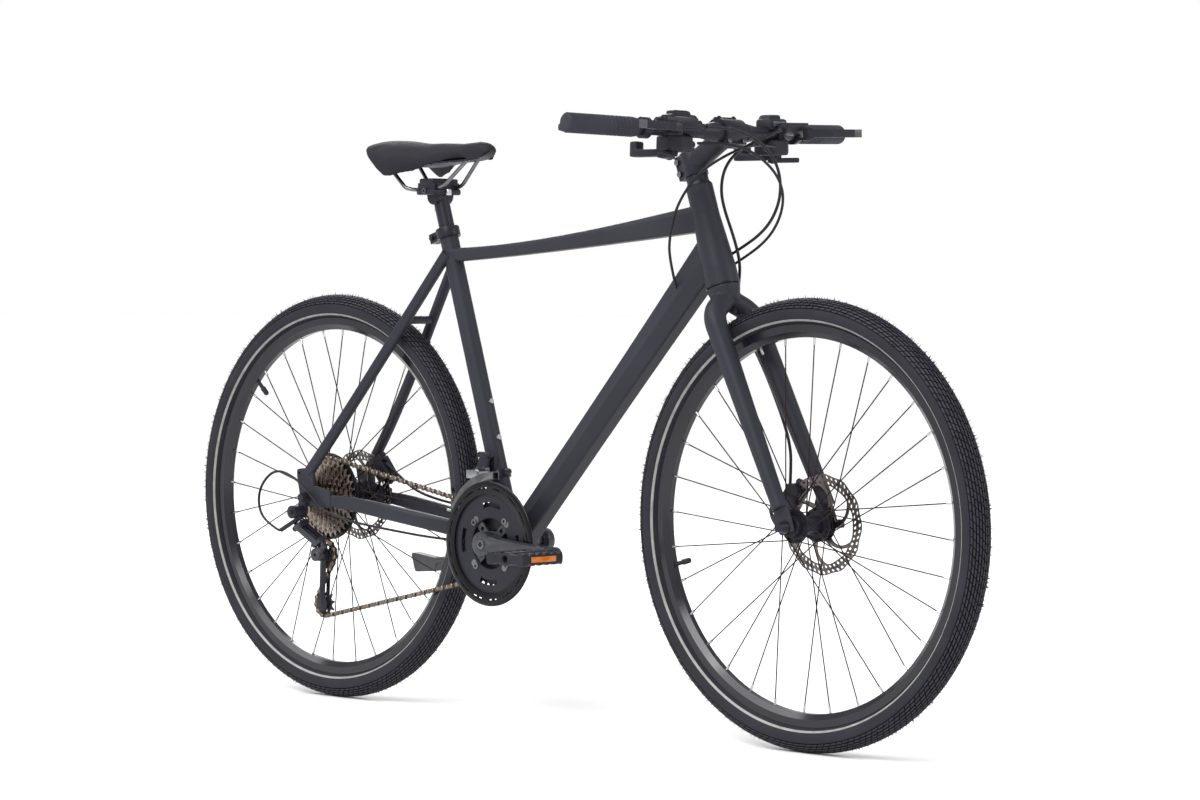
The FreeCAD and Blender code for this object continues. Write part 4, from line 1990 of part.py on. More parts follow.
rear_brake_route = [(416, -88, 985), (430, -45, 984), (446, -2, 967), (459, 24, 938), (464, 35, 901), (455, 39, 861),
                    (427, 40, 824), (378, 36, 794), (322, 22, 764)]
rear_shift_route = [(399, -92, 959), (424, -60, 960), (450, -20, 949), (468, 14, 918), (474, 30, 884), (461, 39, 846),
                    (430, 42, 808), (378, 37, 776), (320, 20, 742)]
front_shift_route = [(399, 92, 959), (407, 52, 962), (397, 6, 953), (357, -26, 924), (333, -37, 898), (306, -41, 860),
                     (290, -39, 815), (284, -34, 778), (286, -18, 728)]
front_hose_route = [(416, 88, 985), (409, 62, 975), (394, 40, 962), (374, 24, 947), (361, 12, 921), (357, 9, 888), (363, 11, 857),
                    (377, 18, 814), (383, 28, 772), (371, 38, 736), (358, 46, 704), (376, 52, 657), (411, 53, 604),
                    (448, 53, 534), (473, 50, 480), (480, 43, 437), (481, 39, 404)]
rear_loop_route = [(-200, -36, 297), (-268, -45, 300), (-342, -52, 307), (-410, -58, 314), (-466, -66, 322),
                   (-510, -79, 338), (-538, -82, 362), (-573, -84, 391), (-626, -86, 407), (-663, -89, 379),
                   (-668, -93, 343), (-646, -96, 312), (-604, -97, 298)]
rear_hose_route = [(-142, 30, 338), (-206, 41, 345), (-284, 50, 350), (-356, 56, 357), (-416, 58, 370), (-456, 56, 394),
                   (-488, 53, 416)]


def build_control_cables(filled, bracket, rear_caliper):
    solids = []
    for name, route, radius in (("rear brake hose", rear_brake_route, hose_radius),
                                ("rear shift housing", rear_shift_route, housing_radius),
                                ("front shift housing", front_shift_route, housing_radius)):
        run = cable(name, route, radius)
        solids.append(biggest(run.cut(filled["down"]).cut(filled["head"])))
    solids.append(biggest(cable("rear shift loop", rear_loop_route, housing_radius).cut(bracket)))
    lower = cable("rear brake hose, chainstay", rear_hose_route, hose_radius)
    solids.append(biggest(lower.cut(rear_caliper).cut(filled["seat"]).cut(filled["down"])))
    return Part.makeCompound(solids)


def stand_axis():
    return vec(*stand_axis_shares).normalize()


def build_stand_mount(stays):
    # Two plates that one upright bolt clamps round the chainstays, with a housing for the pivot pin below.
    pivot = vec(*stand_pivot_at)
    axis = stand_axis()
    plate_low = block(vec(*stand_plate_corner), vec(*stand_plate_size))
    neck = block(vec(*stand_neck_corner), vec(*stand_neck_size))
    housing = rod(pivot - axis * stand_housing_length, pivot - axis * body_gap, stand_knuckle_radius)
    pin = rod(pivot - axis * stand_housing_length, pivot + axis * (stand_knuckle_length + body_gap * 2), stand_pin)
    head_at = pivot + axis * (stand_knuckle_length + body_gap)
    pin = pin.fuse(rod(head_at, head_at + axis * stand_head_thick, stand_head_radius)).removeSplitter()
    cap = block(vec(*stand_cap_corner), vec(*stand_cap_size))
    middle = vec(stand_plate_corner[0] + stand_plate_size[0] / 2, 0, stand_plate_corner[2])
    top = middle + upward * (stand_cap_corner[2] + stand_cap_size[2] - stand_plate_corner[2])
    bolt = rod(middle - upward * stand_head_thick, top, stand_bolt_radius)
    bolt = bolt.fuse(rod(middle - upward * stand_head_thick, middle, stand_bolt_head)).removeSplitter()
    lower = biggest(plate_low.fuse([neck, housing]).cut(pin).cut(bolt).removeSplitter())
    for stay in stays:
        lower = biggest(lower.cut(stay))
        cap = biggest(cap.cut(stay))
    return [lower, biggest(cap.cut(bolt)), bolt, pin]


def build_kickstand():
    # Leg with a bored knuckle on the pivot pin and a moulded shoe at its end.
    pivot = vec(*stand_pivot_at)
    axis = stand_axis()
    knuckle = rod(pivot, pivot + axis * stand_knuckle_length, stand_knuckle_radius)
    foot = vec(*stand_foot_at)
    leg = rod(pivot + axis * (stand_knuckle_length * 0.45), foot, stand_leg_radius)
    reach = axis * (stand_knuckle_length * 2)
    leg = biggest(knuckle.fuse(leg).cut(rod(pivot - reach, pivot + reach, stand_pin + running_fit)).removeSplitter())
    shoe = plate(stand_shoe_outline, stand_shoe_corner, foot.y - stand_shoe_thick / 2, stand_shoe_thick)
    return Part.makeCompound([leg, biggest(shoe.cut(leg))])


def build_frame_fittings(filled, stays):
    bolts = []
    for i in range(2):
        base = seat_point(seat_bottle_at + bottle_spacing * i) + seat_normal * seat_tube_radius
        bolts.append(rod(base, base + seat_normal * bottle_bolt_height, bottle_bolt_radius))
    foot, along = down_tube_stations()[0][:2]
    up = vec(-along.z, 0, along.x)
    for i in range(2):
        base = foot + along * (down_bottle_at + bottle_spacing * i)
        bolt = rod(base, base + up * (down_tube_tall_middle / 2 + bottle_bolt_height), bottle_bolt_radius)
        bolts.append(biggest(bolt.cut(filled["down"])))
    bolts[0:2] = [biggest(bolt.cut(filled["seat"])) for bolt in bolts[0:2]]
    return Part.makeCompound(bolts + build_stand_mount(stays))


def save(name, shape):
    if not shape.isValid():
        print("not valid:", name)
    shape.exportStep("parts/" + name + ".step")


def main():
    front_triangle, filled = build_front_triangle()
    rear_triangle, rear_caliper_point = build_rear_triangle(filled)
    save("front_triangle", front_triangle)
    save("rear_triangle", rear_triangle)
    save("seat_clamp", build_seat_clamp())
    save("frame_bearings", Part.makeCompound(build_headset().Solids + build_bottom_bracket().Solids))
    save("seatpost", build_seatpost())
    cover, base, rails = build_saddle()
    save("saddle_cover", cover)
    save("saddle_base", base)
    save("saddle_rails", rails)
    save("fork", build_fork())
    save("stem", build_stem())
    save("stem_hardware", build_stem_hardware())
    save("handlebar", build_handlebar())
    save("grips", build_grips())
    save("brake_lever_bodies", build_brake_bodies())
    save("shifter_bodies", build_shifter_bodies())
    for name, lever in (("brake_lever", brake_lever_left()), ("shift_lever", thumb_lever_left()),
                        ("release_lever", release_lever_left())):
        save("left_" + name, lever)
        save("right_" + name, mirrored(lever))
    front_rotor_side = hub_width_front / 2 - rotor_inset
    rear_rotor_side = hub_width_rear / 2 - rotor_inset
    front_at = steer_place.multVec(vec(fork_rake + front_caliper_at[0], front_rotor_side, front_caliper_at[1]))
    front_reach = front_at - front_axle_at
    front_caliper = caliper(front_at, vec(front_reach.x, 0, front_reach.z))
    save("front_brake_caliper", front_caliper)
    rear_reach = rear_caliper_point - rear_axle_at
    rear_caliper = caliper(rear_caliper_point, vec(rear_reach.x, 0, rear_reach.z))
    save("rear_brake_caliper", rear_caliper)
    front_hose = cable("front brake hose", front_hose_route, hose_radius)
    save("front_brake_hose", biggest(front_hose.cut(front_caliper)))
    front_pairs = spoke_ends(front_axle_at, front_flange_left, front_flange_right, valve_angle_front + 180.0 / spoke_count)
    rear_pairs = spoke_ends(rear_axle_at, rear_flange_left, rear_flange_right, valve_angle_rear + 180.0 / spoke_count)
    save("front_tyre", tyre_and_tube(front_axle_at, valve_angle_front))
    save("rear_tyre", tyre_and_tube(rear_axle_at, valve_angle_rear))
    save("front_rim", rim(front_axle_at, valve_angle_front, [pair[:2] for pair in front_pairs]))
    save("rear_rim", rim(rear_axle_at, valve_angle_rear, [pair[:2] for pair in rear_pairs]))
    save("front_spokes", spokes(front_pairs))
    save("rear_spokes", spokes(rear_pairs))
    front_disc_face = front_rotor_side - rotor_thick / 2
    rear_disc_face = rear_rotor_side - rotor_thick / 2
    front_right_end = hub_width_front / 2 - locknut_thick - body_gap
    rear_right_end = largest_cog_side - tooth_thick / 2 - body_gap
    save("front_hub", hub(front_axle_at, front_flange_left, front_flange_right, front_disc_face, front_right_end, front_pairs))
    save("rear_hub", hub(rear_axle_at, rear_flange_left, rear_flange_right, rear_disc_face, rear_right_end, rear_pairs))
    save("front_rotor", rotor(front_axle_at, front_rotor_side))
    save("rear_rotor", rotor(rear_axle_at, rear_rotor_side))
    save("front_axle", axle(front_axle_at, hub_width_front, fork_tab_thick, front_right_end + body_gap,
                            front_disc_face + body_gap))
    cassette_end = largest_cog_side + cog_spacing * (len(cog_teeth) - 1) + tooth_thick
    save("rear_axle", axle(rear_axle_at, hub_width_rear, dropout_thick, cassette_end + body_gap, rear_disc_face + body_gap))
    save("front_skewer_lever", skewer_lever(front_axle_at, hub_width_front / 2 + fork_tab_thick))
    save("rear_skewer_lever", skewer_lever(rear_axle_at, hub_width_rear / 2 + dropout_thick))
    save("spoke_protector", build_protector())
    save("cassette", build_cassette())
    save("chain", build_chain())
    save("crank_spindle", build_crank_spindle())
    save("crank_arms", build_crank_arms())
    save("chainrings", build_chainrings())
    save("chain_guard", build_chain_guard())
    save("right_pedal", pedal(-1))
    save("left_pedal", pedal(1))
    save("front_derailleur_clamp", build_fd_clamp())
    save("front_derailleur_link", build_fd_link())
    save("front_derailleur_cage", build_fd_cage())
    bracket = build_derailleur_bracket()
    save("derailleur_bracket", bracket)
    save("derailleur_outer_link", link_bar(link_top, link_end))
    save("derailleur_inner_link", link_bar(inner_top, inner_end))
    save("derailleur_knuckle", build_derailleur_knuckle())
    save("derailleur_cage", build_derailleur_cage())
    save("guide_pulley", pulley(guide_at))
    save("tension_pulley", pulley(tension_at))
    save("control_cables", build_control_cables(filled, bracket, rear_caliper))
    save("frame_fittings", build_frame_fittings(filled, [chainstay(-1), chainstay(1)]))
    save("kickstand", build_kickstand())


main()
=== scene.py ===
import json
import math
import random

import bpy
from mathutils import Euler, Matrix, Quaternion, Vector


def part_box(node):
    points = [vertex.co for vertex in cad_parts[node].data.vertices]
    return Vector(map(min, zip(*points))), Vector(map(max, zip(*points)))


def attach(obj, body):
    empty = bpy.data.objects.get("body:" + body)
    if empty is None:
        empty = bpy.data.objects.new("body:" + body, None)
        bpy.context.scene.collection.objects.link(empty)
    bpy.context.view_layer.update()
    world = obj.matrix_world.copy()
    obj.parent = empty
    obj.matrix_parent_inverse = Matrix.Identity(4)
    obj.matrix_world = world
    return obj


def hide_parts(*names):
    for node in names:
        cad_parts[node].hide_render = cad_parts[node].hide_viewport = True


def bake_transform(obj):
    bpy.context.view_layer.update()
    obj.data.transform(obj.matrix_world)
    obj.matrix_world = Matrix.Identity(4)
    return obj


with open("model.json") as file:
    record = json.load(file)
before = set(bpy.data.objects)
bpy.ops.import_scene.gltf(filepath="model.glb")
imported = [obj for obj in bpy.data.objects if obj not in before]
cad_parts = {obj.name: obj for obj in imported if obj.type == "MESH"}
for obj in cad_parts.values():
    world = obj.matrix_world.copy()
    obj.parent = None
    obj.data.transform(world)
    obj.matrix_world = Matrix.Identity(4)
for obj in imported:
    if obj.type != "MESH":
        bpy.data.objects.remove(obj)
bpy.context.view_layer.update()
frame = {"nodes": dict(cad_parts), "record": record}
nodes = frame["nodes"]
bodies = frame["record"]["behaviour"]["bodies"]
bodyOf = {node: body for body, members in bodies.items() for node in members}
print("frame loaded,", len(nodes), "nodes")


# small helpers

def clearSelection():
    if bpy.context.object and bpy.context.object.mode != "OBJECT":
        bpy.ops.object.mode_set(mode="OBJECT")
    bpy.ops.object.select_all(action="DESELECT")


def pick(obj):
    clearSelection()
    obj.select_set(True)
    bpy.context.view_layer.objects.active = obj
    return obj


def named(name):
    obj = bpy.context.object
    obj.name = name
    obj.data.name = name
    return obj


def settle(obj):  # place goes into the mesh
    pick(obj)
    bpy.ops.object.transform_apply(location=True, rotation=True, scale=True)
    return obj


def applyModifiers(obj):
    pick(obj)
    for modifier in list(obj.modifiers):
        bpy.ops.object.modifier_apply(modifier=modifier.name)
    return obj


def editAll(obj):  # edit mode with everything chosen
    pick(obj)
    bpy.ops.object.mode_set(mode="EDIT")
    bpy.ops.mesh.select_all(action="SELECT")


def endEdit():
    bpy.ops.object.mode_set(mode="OBJECT")


def tidyMesh(obj, gap=0.00002):
    editAll(obj)
    bpy.ops.mesh.remove_doubles(threshold=gap)
    bpy.ops.mesh.normals_make_consistent(inside=False)
    endEdit()
    return obj


def addObject(name, data):
    obj = bpy.data.objects.new(name, data)
    bpy.context.scene.collection.objects.link(obj)
    return obj


def addMesh(name, points, edges, faces):
    mesh = bpy.data.meshes.new(name)
    mesh.from_pydata(points, edges, faces)
    return addObject(name, mesh)


def smooth(obj, angle=35):
    pick(obj)
    bpy.ops.object.shade_smooth_by_angle(angle=math.radians(angle))
    return obj


def joinAll(pieces, name):
    clearSelection()
    for piece in pieces:
        piece.select_set(True)
    bpy.context.view_layer.objects.active = pieces[0]
    bpy.ops.object.join()
    return named(name)


# finishes: colour drifts between two tones, grain feeds roughness and bump

finishes = {
    "framePaint": {"tones": ((0.0195, 0.0195, 0.0272), (0.0262, 0.0262, 0.0352)), "rough": (0.40, 0.52),
                   "grain": 900, "drift": 6, "bump": 0.05, "shine": 0.16},
    "satinBlack": {"tones": ((0.0120, 0.0117, 0.0175), (0.0185, 0.0180, 0.0265)), "rough": (0.30, 0.44),
                   "grain": 700, "drift": 14, "bump": 0.04, "shine": 0.18},
    "rimGloss": {"tones": ((0.0070, 0.0069, 0.0105), (0.0110, 0.0108, 0.0160)), "rough": (0.12, 0.24),
                 "grain": 400, "drift": 9, "bump": 0.02, "shine": 0.40},
    "brightSteel": {"tones": ((0.420, 0.420, 0.430), (0.600, 0.600, 0.610)), "rough": (0.18, 0.34),
                    "grain": 500, "drift": 40, "bump": 0.03, "metal": 1.0},
    "railSteel": {"tones": ((0.110, 0.110, 0.118), (0.190, 0.190, 0.200)), "rough": (0.20, 0.34),
                  "grain": 500, "drift": 40, "bump": 0.03, "metal": 1.0},
    "darkSpoke": {"tones": ((0.0090, 0.0055, 0.0055), (0.0170, 0.0105, 0.0105)), "rough": (0.45, 0.60),
                  "grain": 600, "drift": 30, "bump": 0.02, "shine": 0.12},
    "bronzeChain": {"tones": ((0.115, 0.090, 0.070), (0.225, 0.184, 0.145)), "rough": (0.24, 0.44),
                    "grain": 700, "drift": 90, "bump": 0.05, "metal": 1.0},
    # painted shade: a darker copy of the chain's metal for the inner links, sitting back between the outer
    # plates
    "innerLinkPaintedShade": {"tones": ((0.034, 0.026, 0.020), (0.075, 0.058, 0.045)), "rough": (0.30, 0.50),
                   "grain": 700, "drift": 90, "bump": 0.05, "metal": 1.0},
    "brownNickel": {"tones": ((0.200, 0.164, 0.140), (0.380, 0.325, 0.285)), "rough": (0.24, 0.44),
                    "grain": 700, "drift": 70, "bump": 0.04, "metal": 1.0},
    "gunmetal": {"tones": ((0.0190, 0.0195, 0.0250), (0.0300, 0.0310, 0.0385)), "rough": (0.16, 0.28),
                 "grain": 800, "drift": 25, "bump": 0.02, "shine": 0.40},
    "satinAlloy": {"tones": ((0.240, 0.248, 0.266), (0.360, 0.370, 0.390)), "rough": (0.26, 0.42),
                   "grain": 700, "drift": 30, "bump": 0.04, "metal": 1.0},
    "standGrey": {"tones": ((0.045, 0.044, 0.050), (0.075, 0.073, 0.080)), "rough": (0.36, 0.52),
                  "grain": 900, "drift": 24, "bump": 0.08, "metal": 0.2},
    "mouldedBlack": {"tones": ((0.0130, 0.0127, 0.0185), (0.0200, 0.0196, 0.0280)), "rough": (0.44, 0.62),
                     "grain": 1100, "drift": 20, "bump": 0.12, "shine": 0.18},
    "guardGloss": {"tones": ((0.0036, 0.0034, 0.0048), (0.0060, 0.0058, 0.0080)), "rough": (0.18, 0.30),
                   "grain": 800, "drift": 16, "bump": 0.04, "shine": 0.18},
    "hoseBlack": {"tones": ((0.0060, 0.0058, 0.0085), (0.0100, 0.0098, 0.0140)), "rough": (0.26, 0.40),
                  "grain": 500, "drift": 20, "bump": 0.03, "shine": 0.24},
    "gripRubber": {"tones": ((0.0250, 0.0245, 0.0335), (0.0360, 0.0352, 0.0470)), "rough": (0.60, 0.78),
                   "grain": 420, "drift": 24, "bump": 0.30, "shine": 0.16, "cells": True},
    "tyreRubber": {"tones": ((0.0150, 0.0146, 0.0205), (0.0225, 0.0219, 0.0300)), "rough": (0.56, 0.74),
                   "grain": 900, "drift": 18, "bump": 0.14, "shine": 0.16},
    # painted sheen: a lighter copy of the tyre rubber for the tread block tops, where light falls from above
    "treadTopPaintedSheen": {"tones": ((0.0215, 0.0212, 0.0290), (0.0320, 0.0316, 0.0420)), "rough": (0.46, 0.66),
                 "grain": 1200, "drift": 60, "bump": 0.16, "shine": 0.18},
    # painted shade: a darker copy of the tyre rubber for the groove floors and walls
    "groovePaintedShade": {"tones": ((0.0030, 0.0030, 0.0042), (0.0055, 0.0055, 0.0075)), "rough": (0.60, 0.80),
                    "grain": 900, "drift": 40, "bump": 0.10, "shine": 0.08},
    "stripeGrey": {"tones": ((0.200, 0.200, 0.190), (0.310, 0.310, 0.290)), "rough": (0.40, 0.58),
                   "grain": 1500, "drift": 50, "bump": 0.10},
    "saddleSkin": {"tones": ((0.0140, 0.0136, 0.0185), (0.0195, 0.0189, 0.0250)), "rough": (0.60, 0.74),
                   "grain": 620, "drift": 10, "bump": 0.14, "shine": 0.14, "cells": True},
    "smokedDisc": {"tones": ((0.0060, 0.0059, 0.0085), (0.0100, 0.0098, 0.0140)), "rough": (0.18, 0.30),
                   "grain": 300, "drift": 12, "bump": 0.02, "shine": 0.30},
    "rotorSteel": {"tones": ((0.090, 0.080, 0.073), (0.170, 0.154, 0.143)), "rough": (0.24, 0.40),
                   "grain": 900, "drift": 36, "bump": 0.05, "metal": 1.0},
    "amberLens": {"tones": ((0.460, 0.115, 0.008), (0.660, 0.185, 0.015)), "rough": (0.12, 0.26),
                  "grain": 600, "drift": 60, "bump": 0.05},
    "displayGrey": {"tones": ((0.055, 0.062, 0.078), (0.085, 0.095, 0.115)), "rough": (0.14, 0.26),
                    "grain": 300, "drift": 40, "bump": 0.01, "shine": 0.40},
}


shading = {"stops": (0.32, 0.68), "spread": (0.3, 0.7), "driftDetail": 5, "grainDetail": 3, "relief": 0.0006}


def makeFinish(name, look):
    material = bpy.data.materials.new(name)
    material.use_nodes = True
    tree = material.node_tree
    shader = tree.nodes["Principled BSDF"]
    shader.inputs["Metallic"].default_value = look.get("metal", 0.0)
    shader.inputs["Specular IOR Level"].default_value = look.get("shine", 0.5)
    place = tree.nodes.new("ShaderNodeTexCoord")
    drift = tree.nodes.new("ShaderNodeTexNoise")
    drift.inputs["Scale"].default_value = look["drift"]
    drift.inputs["Detail"].default_value = shading["driftDetail"]
    tones = tree.nodes.new("ShaderNodeValToRGB")
    for stop, tone, at in zip(tones.color_ramp.elements, look["tones"], shading["stops"]):
        stop.color = (*tone, 1)
        stop.position = at
    if look.get("cells"):
        grain = tree.nodes.new("ShaderNodeTexVoronoi")
        grain.feature = "DISTANCE_TO_EDGE"
        height = grain.outputs["Distance"]
    else:
        grain = tree.nodes.new("ShaderNodeTexNoise")
        grain.inputs["Detail"].default_value = shading["grainDetail"]
        height = grain.outputs["Fac"]
    grain.inputs["Scale"].default_value = look["grain"]
    rough = tree.nodes.new("ShaderNodeMapRange")
    rough.inputs["From Min"].default_value, rough.inputs["From Max"].default_value = shading["spread"]
    rough.inputs["To Min"].default_value, rough.inputs["To Max"].default_value = look["rough"]
    bump = tree.nodes.new("ShaderNodeBump")
    bump.inputs["Strength"].default_value = look["bump"]
    bump.inputs["Distance"].default_value = shading["relief"]
    for start, end in ((place.outputs["Object"], drift.inputs["Vector"]),
                       (place.outputs["Object"], grain.inputs["Vector"]),
                       (drift.outputs["Fac"], tones.inputs["Fac"]),
                       (tones.outputs["Color"], shader.inputs["Base Color"]),
                       (drift.outputs["Fac"], rough.inputs["Value"]),
                       (rough.outputs["Result"], shader.inputs["Roughness"]),
                       (height, bump.inputs["Height"]),
                       (bump.outputs["Normal"], shader.inputs["Normal"])):
        tree.links.new(start, end)
    return material


materials = {name: makeFinish(name, look) for name, look in finishes.items()}
print("finishes made:", len(materials))


def coat(obj, finish):
    obj.data.materials.clear()
    obj.data.materials.append(materials[finish])


def paint(obj, finish):
    coat(obj, finish)


nodeFinish = {
    "framePaint": ("front_triangle", "rear_triangle"),
    "satinBlack": ("frame_bearings", "handlebar", "seatpost", "front_hub", "rear_hub", "chainrings",
                   "front_axle", "rear_axle"),
    "rimGloss": ("front_rim", "rear_rim"),
    "brightSteel": ("frame_fittings",),
    "railSteel": ("crank_spindle",),
    "darkSpoke": ("front_spokes", "rear_spokes"),
    "brownNickel": ("cassette",),
    "mouldedBlack": ("guide_pulley", "tension_pulley"),
    "smokedDisc": ("spoke_protector",),
}
for finishName, members in nodeFinish.items():
    for member in members:
        paint(nodes[member], finishName)


def mark(obj, finish, test):  # faces that pass the test get another finish
    obj.data.materials.append(materials[finish])
    spot = len(obj.data.materials) - 1
    for face in obj.data.polygons:
        if test(face.center):
            face.material_index = spot


def within(low, high):
    return lambda p: all(a <= c <= b for a, c, b in zip(low, p, high))


def axleOf(node):
    low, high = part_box(node)
    return (low + high) / 2


def offAxle(p, axle):  # distance from the axle's line
    return math.hypot(p.x - axle.x, p.z - axle.z)


def beyond(axle, radius):
    return lambda p: offAxle(p, axle) > radius


details = {"nippleFrom": 0.2835, "standMount": ((-0.20, -0.06, 0.24), (-0.14, 0.06, 0.335))}
for wheel in ("front", "rear"):
    mark(nodes[wheel + "_spokes"], "brightSteel", beyond(axleOf(wheel + "_rim"), details["nippleFrom"]))
mark(nodes["frame_fittings"], "satinBlack", within(*details["standMount"]))


# camera, floor and light

shot = {"place": (4.405, -4.393, 0.743), "yaw": 134.45, "pitch": -1.85, "roll": -0.15, "lens": 111.5,
        "sensor": 36.0}


def addCamera():
    yaw, pitch = math.radians(shot["yaw"]), math.radians(shot["pitch"])
    look = Vector((math.cos(pitch) * math.cos(yaw), math.cos(pitch) * math.sin(yaw), math.sin(pitch)))
    data = bpy.data.cameras.new("camera")
    data.lens = shot["lens"]
    data.sensor_width = shot["sensor"]
    camera = addObject("camera", data)
    camera.location = shot["place"]
    camera.rotation_mode = "QUATERNION"
    tilt = Quaternion(look, math.radians(shot["roll"]))
    camera.rotation_quaternion = tilt @ look.to_track_quat("-Z", "Y")
    bpy.context.scene.camera = camera


stage = {"radius": 70.0, "sides": 64, "tone": (0.90, 0.90, 0.90), "rough": 0.6, "shine": 0.2, "rim": 0.5}


def addStage():
    clearSelection()
    bpy.ops.mesh.primitive_circle_add(vertices=stage["sides"], radius=stage["radius"], fill_type="NGON")
    floor = named("paleFloor")
    editAll(floor)
    bpy.ops.mesh.inset(thickness=stage["rim"])
    endEdit()
    material = bpy.data.materials.new("paleFloor")
    material.use_nodes = True
    shader = material.node_tree.nodes["Principled BSDF"]
    shader.inputs["Base Color"].default_value = (*stage["tone"], 1)
    shader.inputs["Roughness"].default_value = stage["rough"]
    shader.inputs["Specular IOR Level"].default_value = stage["shine"]
    floor.data.materials.append(material)


lights = {"sky": ((0.0, 1.0), (0.54, 1.0), (0.66, 0.62), (1.0, 0.42)), "aim": (0, 0, 0.45),
          "sun": {"power": 2.4, "spread": 50, "turn": (28, -18, 0)},
          "softboxes": {"keyLight": {"place": (1.4, -4.8, 4.4), "size": 3.0, "power": 190},
                        "fillLight": {"place": (5.2, 1.8, 3.0), "size": 2.6, "power": 90},
                        "backLight": {"place": (-4.2, 3.4, 3.8), "size": 2.6, "power": 120}}}


def addSky():  # tone by height, bright at the foot
    world = bpy.data.worlds.new("studio")
    world.use_nodes = True
    tree = world.node_tree
    place = tree.nodes.new("ShaderNodeTexCoord")
    height = tree.nodes.new("ShaderNodeSeparateXYZ")
    lift = tree.nodes.new("ShaderNodeMapRange")
    lift.inputs["From Min"].default_value = -1
    sky = tree.nodes.new("ShaderNodeValToRGB")
    while len(sky.color_ramp.elements) < len(lights["sky"]):
        sky.color_ramp.elements.new(0.5)
    for stop, (at, tone) in zip(sky.color_ramp.elements, lights["sky"]):
        stop.position = at
        stop.color = (tone, tone, tone, 1)
    tree.links.new(place.outputs["Generated"], height.inputs["Vector"])
    tree.links.new(height.outputs["Z"], lift.inputs["Value"])
    tree.links.new(lift.outputs["Result"], sky.inputs["Fac"])
    tree.links.new(sky.outputs["Color"], tree.nodes["Background"].inputs["Color"])
    bpy.context.scene.world = world


def addLights():
    sun = lights["sun"]
    data = bpy.data.lights.new("skyLight", "SUN")
    data.energy = sun["power"]
    data.angle = math.radians(sun["spread"])
    addObject("skyLight", data).rotation_euler = [math.radians(a) for a in sun["turn"]]
    for name, box in lights["softboxes"].items():
        data = bpy.data.lights.new(name, "AREA")
        data.shape = "DISK"
        data.size = box["size"]
        data.energy = box["power"]
        lamp = addObject(name, data)
        lamp.location = box["place"]
        aim = Vector(lights["aim"]) - Vector(box["place"])
        lamp.rotation_euler = aim.to_track_quat("-Z", "Y").to_euler()
    bpy.context.scene.view_settings.view_transform = "Standard"


addCamera()
addStage()
addSky()
addLights()
print("camera, floor and light set")


# hoses and cable housings: routes in metres, from the end nearer the controls

hose = {"radius": 0.0025, "sides": 5, "finish": "hoseBlack"}
housing = {"radius": 0.00225, "sides": 5, "finish": "hoseBlack"}
cords = {
    "rearBrakeHose": {"kind": hose, "length": 0.381, "rides": ("frame", "steering"),
                      "stands": "control_cables",
                      "route": ((0.416, -0.088, 0.985), (0.430, -0.045, 0.984), (0.446, -0.002, 0.967),
                                (0.459, 0.024, 0.938), (0.464, 0.035, 0.901), (0.455, 0.039, 0.861),
                                (0.427, 0.040, 0.824), (0.378, 0.036, 0.794), (0.322, 0.022, 0.764))},
    "rearShiftHousing": {"kind": housing, "length": 0.395, "rides": ("frame", "steering"),
                         "stands": "control_cables",
                         "route": ((0.399, -0.092, 0.959), (0.424, -0.060, 0.960), (0.450, -0.020, 0.949),
                                   (0.468, 0.014, 0.918), (0.474, 0.030, 0.884), (0.461, 0.039, 0.846),
                                   (0.430, 0.042, 0.808), (0.378, 0.037, 0.776), (0.320, 0.020, 0.742))},
    "frontShiftHousing": {"kind": housing, "length": 0.366, "rides": ("frame", "steering"),
                          "stands": "control_cables",
                          "route": ((0.399, 0.092, 0.959), (0.407, 0.052, 0.962), (0.397, 0.006, 0.953),
                                    (0.357, -0.026, 0.924), (0.333, -0.037, 0.898), (0.306, -0.041, 0.860),
                                    (0.290, -0.039, 0.815), (0.284, -0.034, 0.778), (0.286, -0.018, 0.728))},
    "frontBrakeHose": {"kind": hose, "length": 0.674, "rides": ("steering",),
                       "stands": "front_brake_hose",
                       "route": ((0.416, 0.088, 0.985), (0.409, 0.062, 0.975), (0.394, 0.040, 0.962),
                                 (0.374, 0.024, 0.947), (0.361, 0.012, 0.921), (0.357, 0.009, 0.888),
                                 (0.363, 0.011, 0.857), (0.377, 0.018, 0.814), (0.383, 0.028, 0.772),
                                 (0.371, 0.038, 0.736), (0.358, 0.046, 0.704), (0.376, 0.052, 0.657),
                                 (0.411, 0.053, 0.604), (0.448, 0.053, 0.534), (0.473, 0.050, 0.480),
                                 (0.480, 0.043, 0.437), (0.481, 0.039, 0.404))},
    "rearShiftLoop": {"kind": housing, "length": 0.612, "rides": ("frame",), "stands": "control_cables",
                      "route": ((-0.200, -0.036, 0.297), (-0.268, -0.045, 0.300), (-0.342, -0.052, 0.307),
                                (-0.410, -0.058, 0.314), (-0.466, -0.066, 0.322), (-0.510, -0.079, 0.338),
                                (-0.538, -0.082, 0.362), (-0.573, -0.084, 0.391), (-0.626, -0.086, 0.407),
                                (-0.663, -0.089, 0.379), (-0.668, -0.093, 0.343), (-0.646, -0.096, 0.312),
                                (-0.604, -0.097, 0.298))},
    "rearHoseStay": {"kind": hose, "length": 0.363, "rides": ("frame",), "stands": "control_cables",
                     "route": ((-0.142, 0.030, 0.338), (-0.206, 0.041, 0.345), (-0.284, 0.050, 0.350),
                               (-0.356, 0.056, 0.357), (-0.416, 0.058, 0.370), (-0.456, 0.056, 0.394),
                               (-0.488, 0.053, 0.416))},
}


def cordCurve(name, route):
    curve = bpy.data.curves.new(name, "CURVE")
    curve.dimensions = "3D"
    spline = curve.splines.new("NURBS")
    spline.points.add(len(route) - 1)
    for point, place in zip(spline.points, route):
        point.co = (*place, 1)
    spline.use_endpoint_u = True
    spline.order_u = 3
    curve.resolution_u = 10
    return addObject(name, curve)


def splinePoints(obj):
    line = bpy.data.meshes.new_from_object(obj.evaluated_get(bpy.context.evaluated_depsgraph_get()))
    points = [tuple(v.co) for v in line.vertices]
    bpy.data.meshes.remove(line)
    return points


def lengthOf(points):
    return sum((Vector(b) - Vector(a)).length for a, b in zip(points, points[1:]))


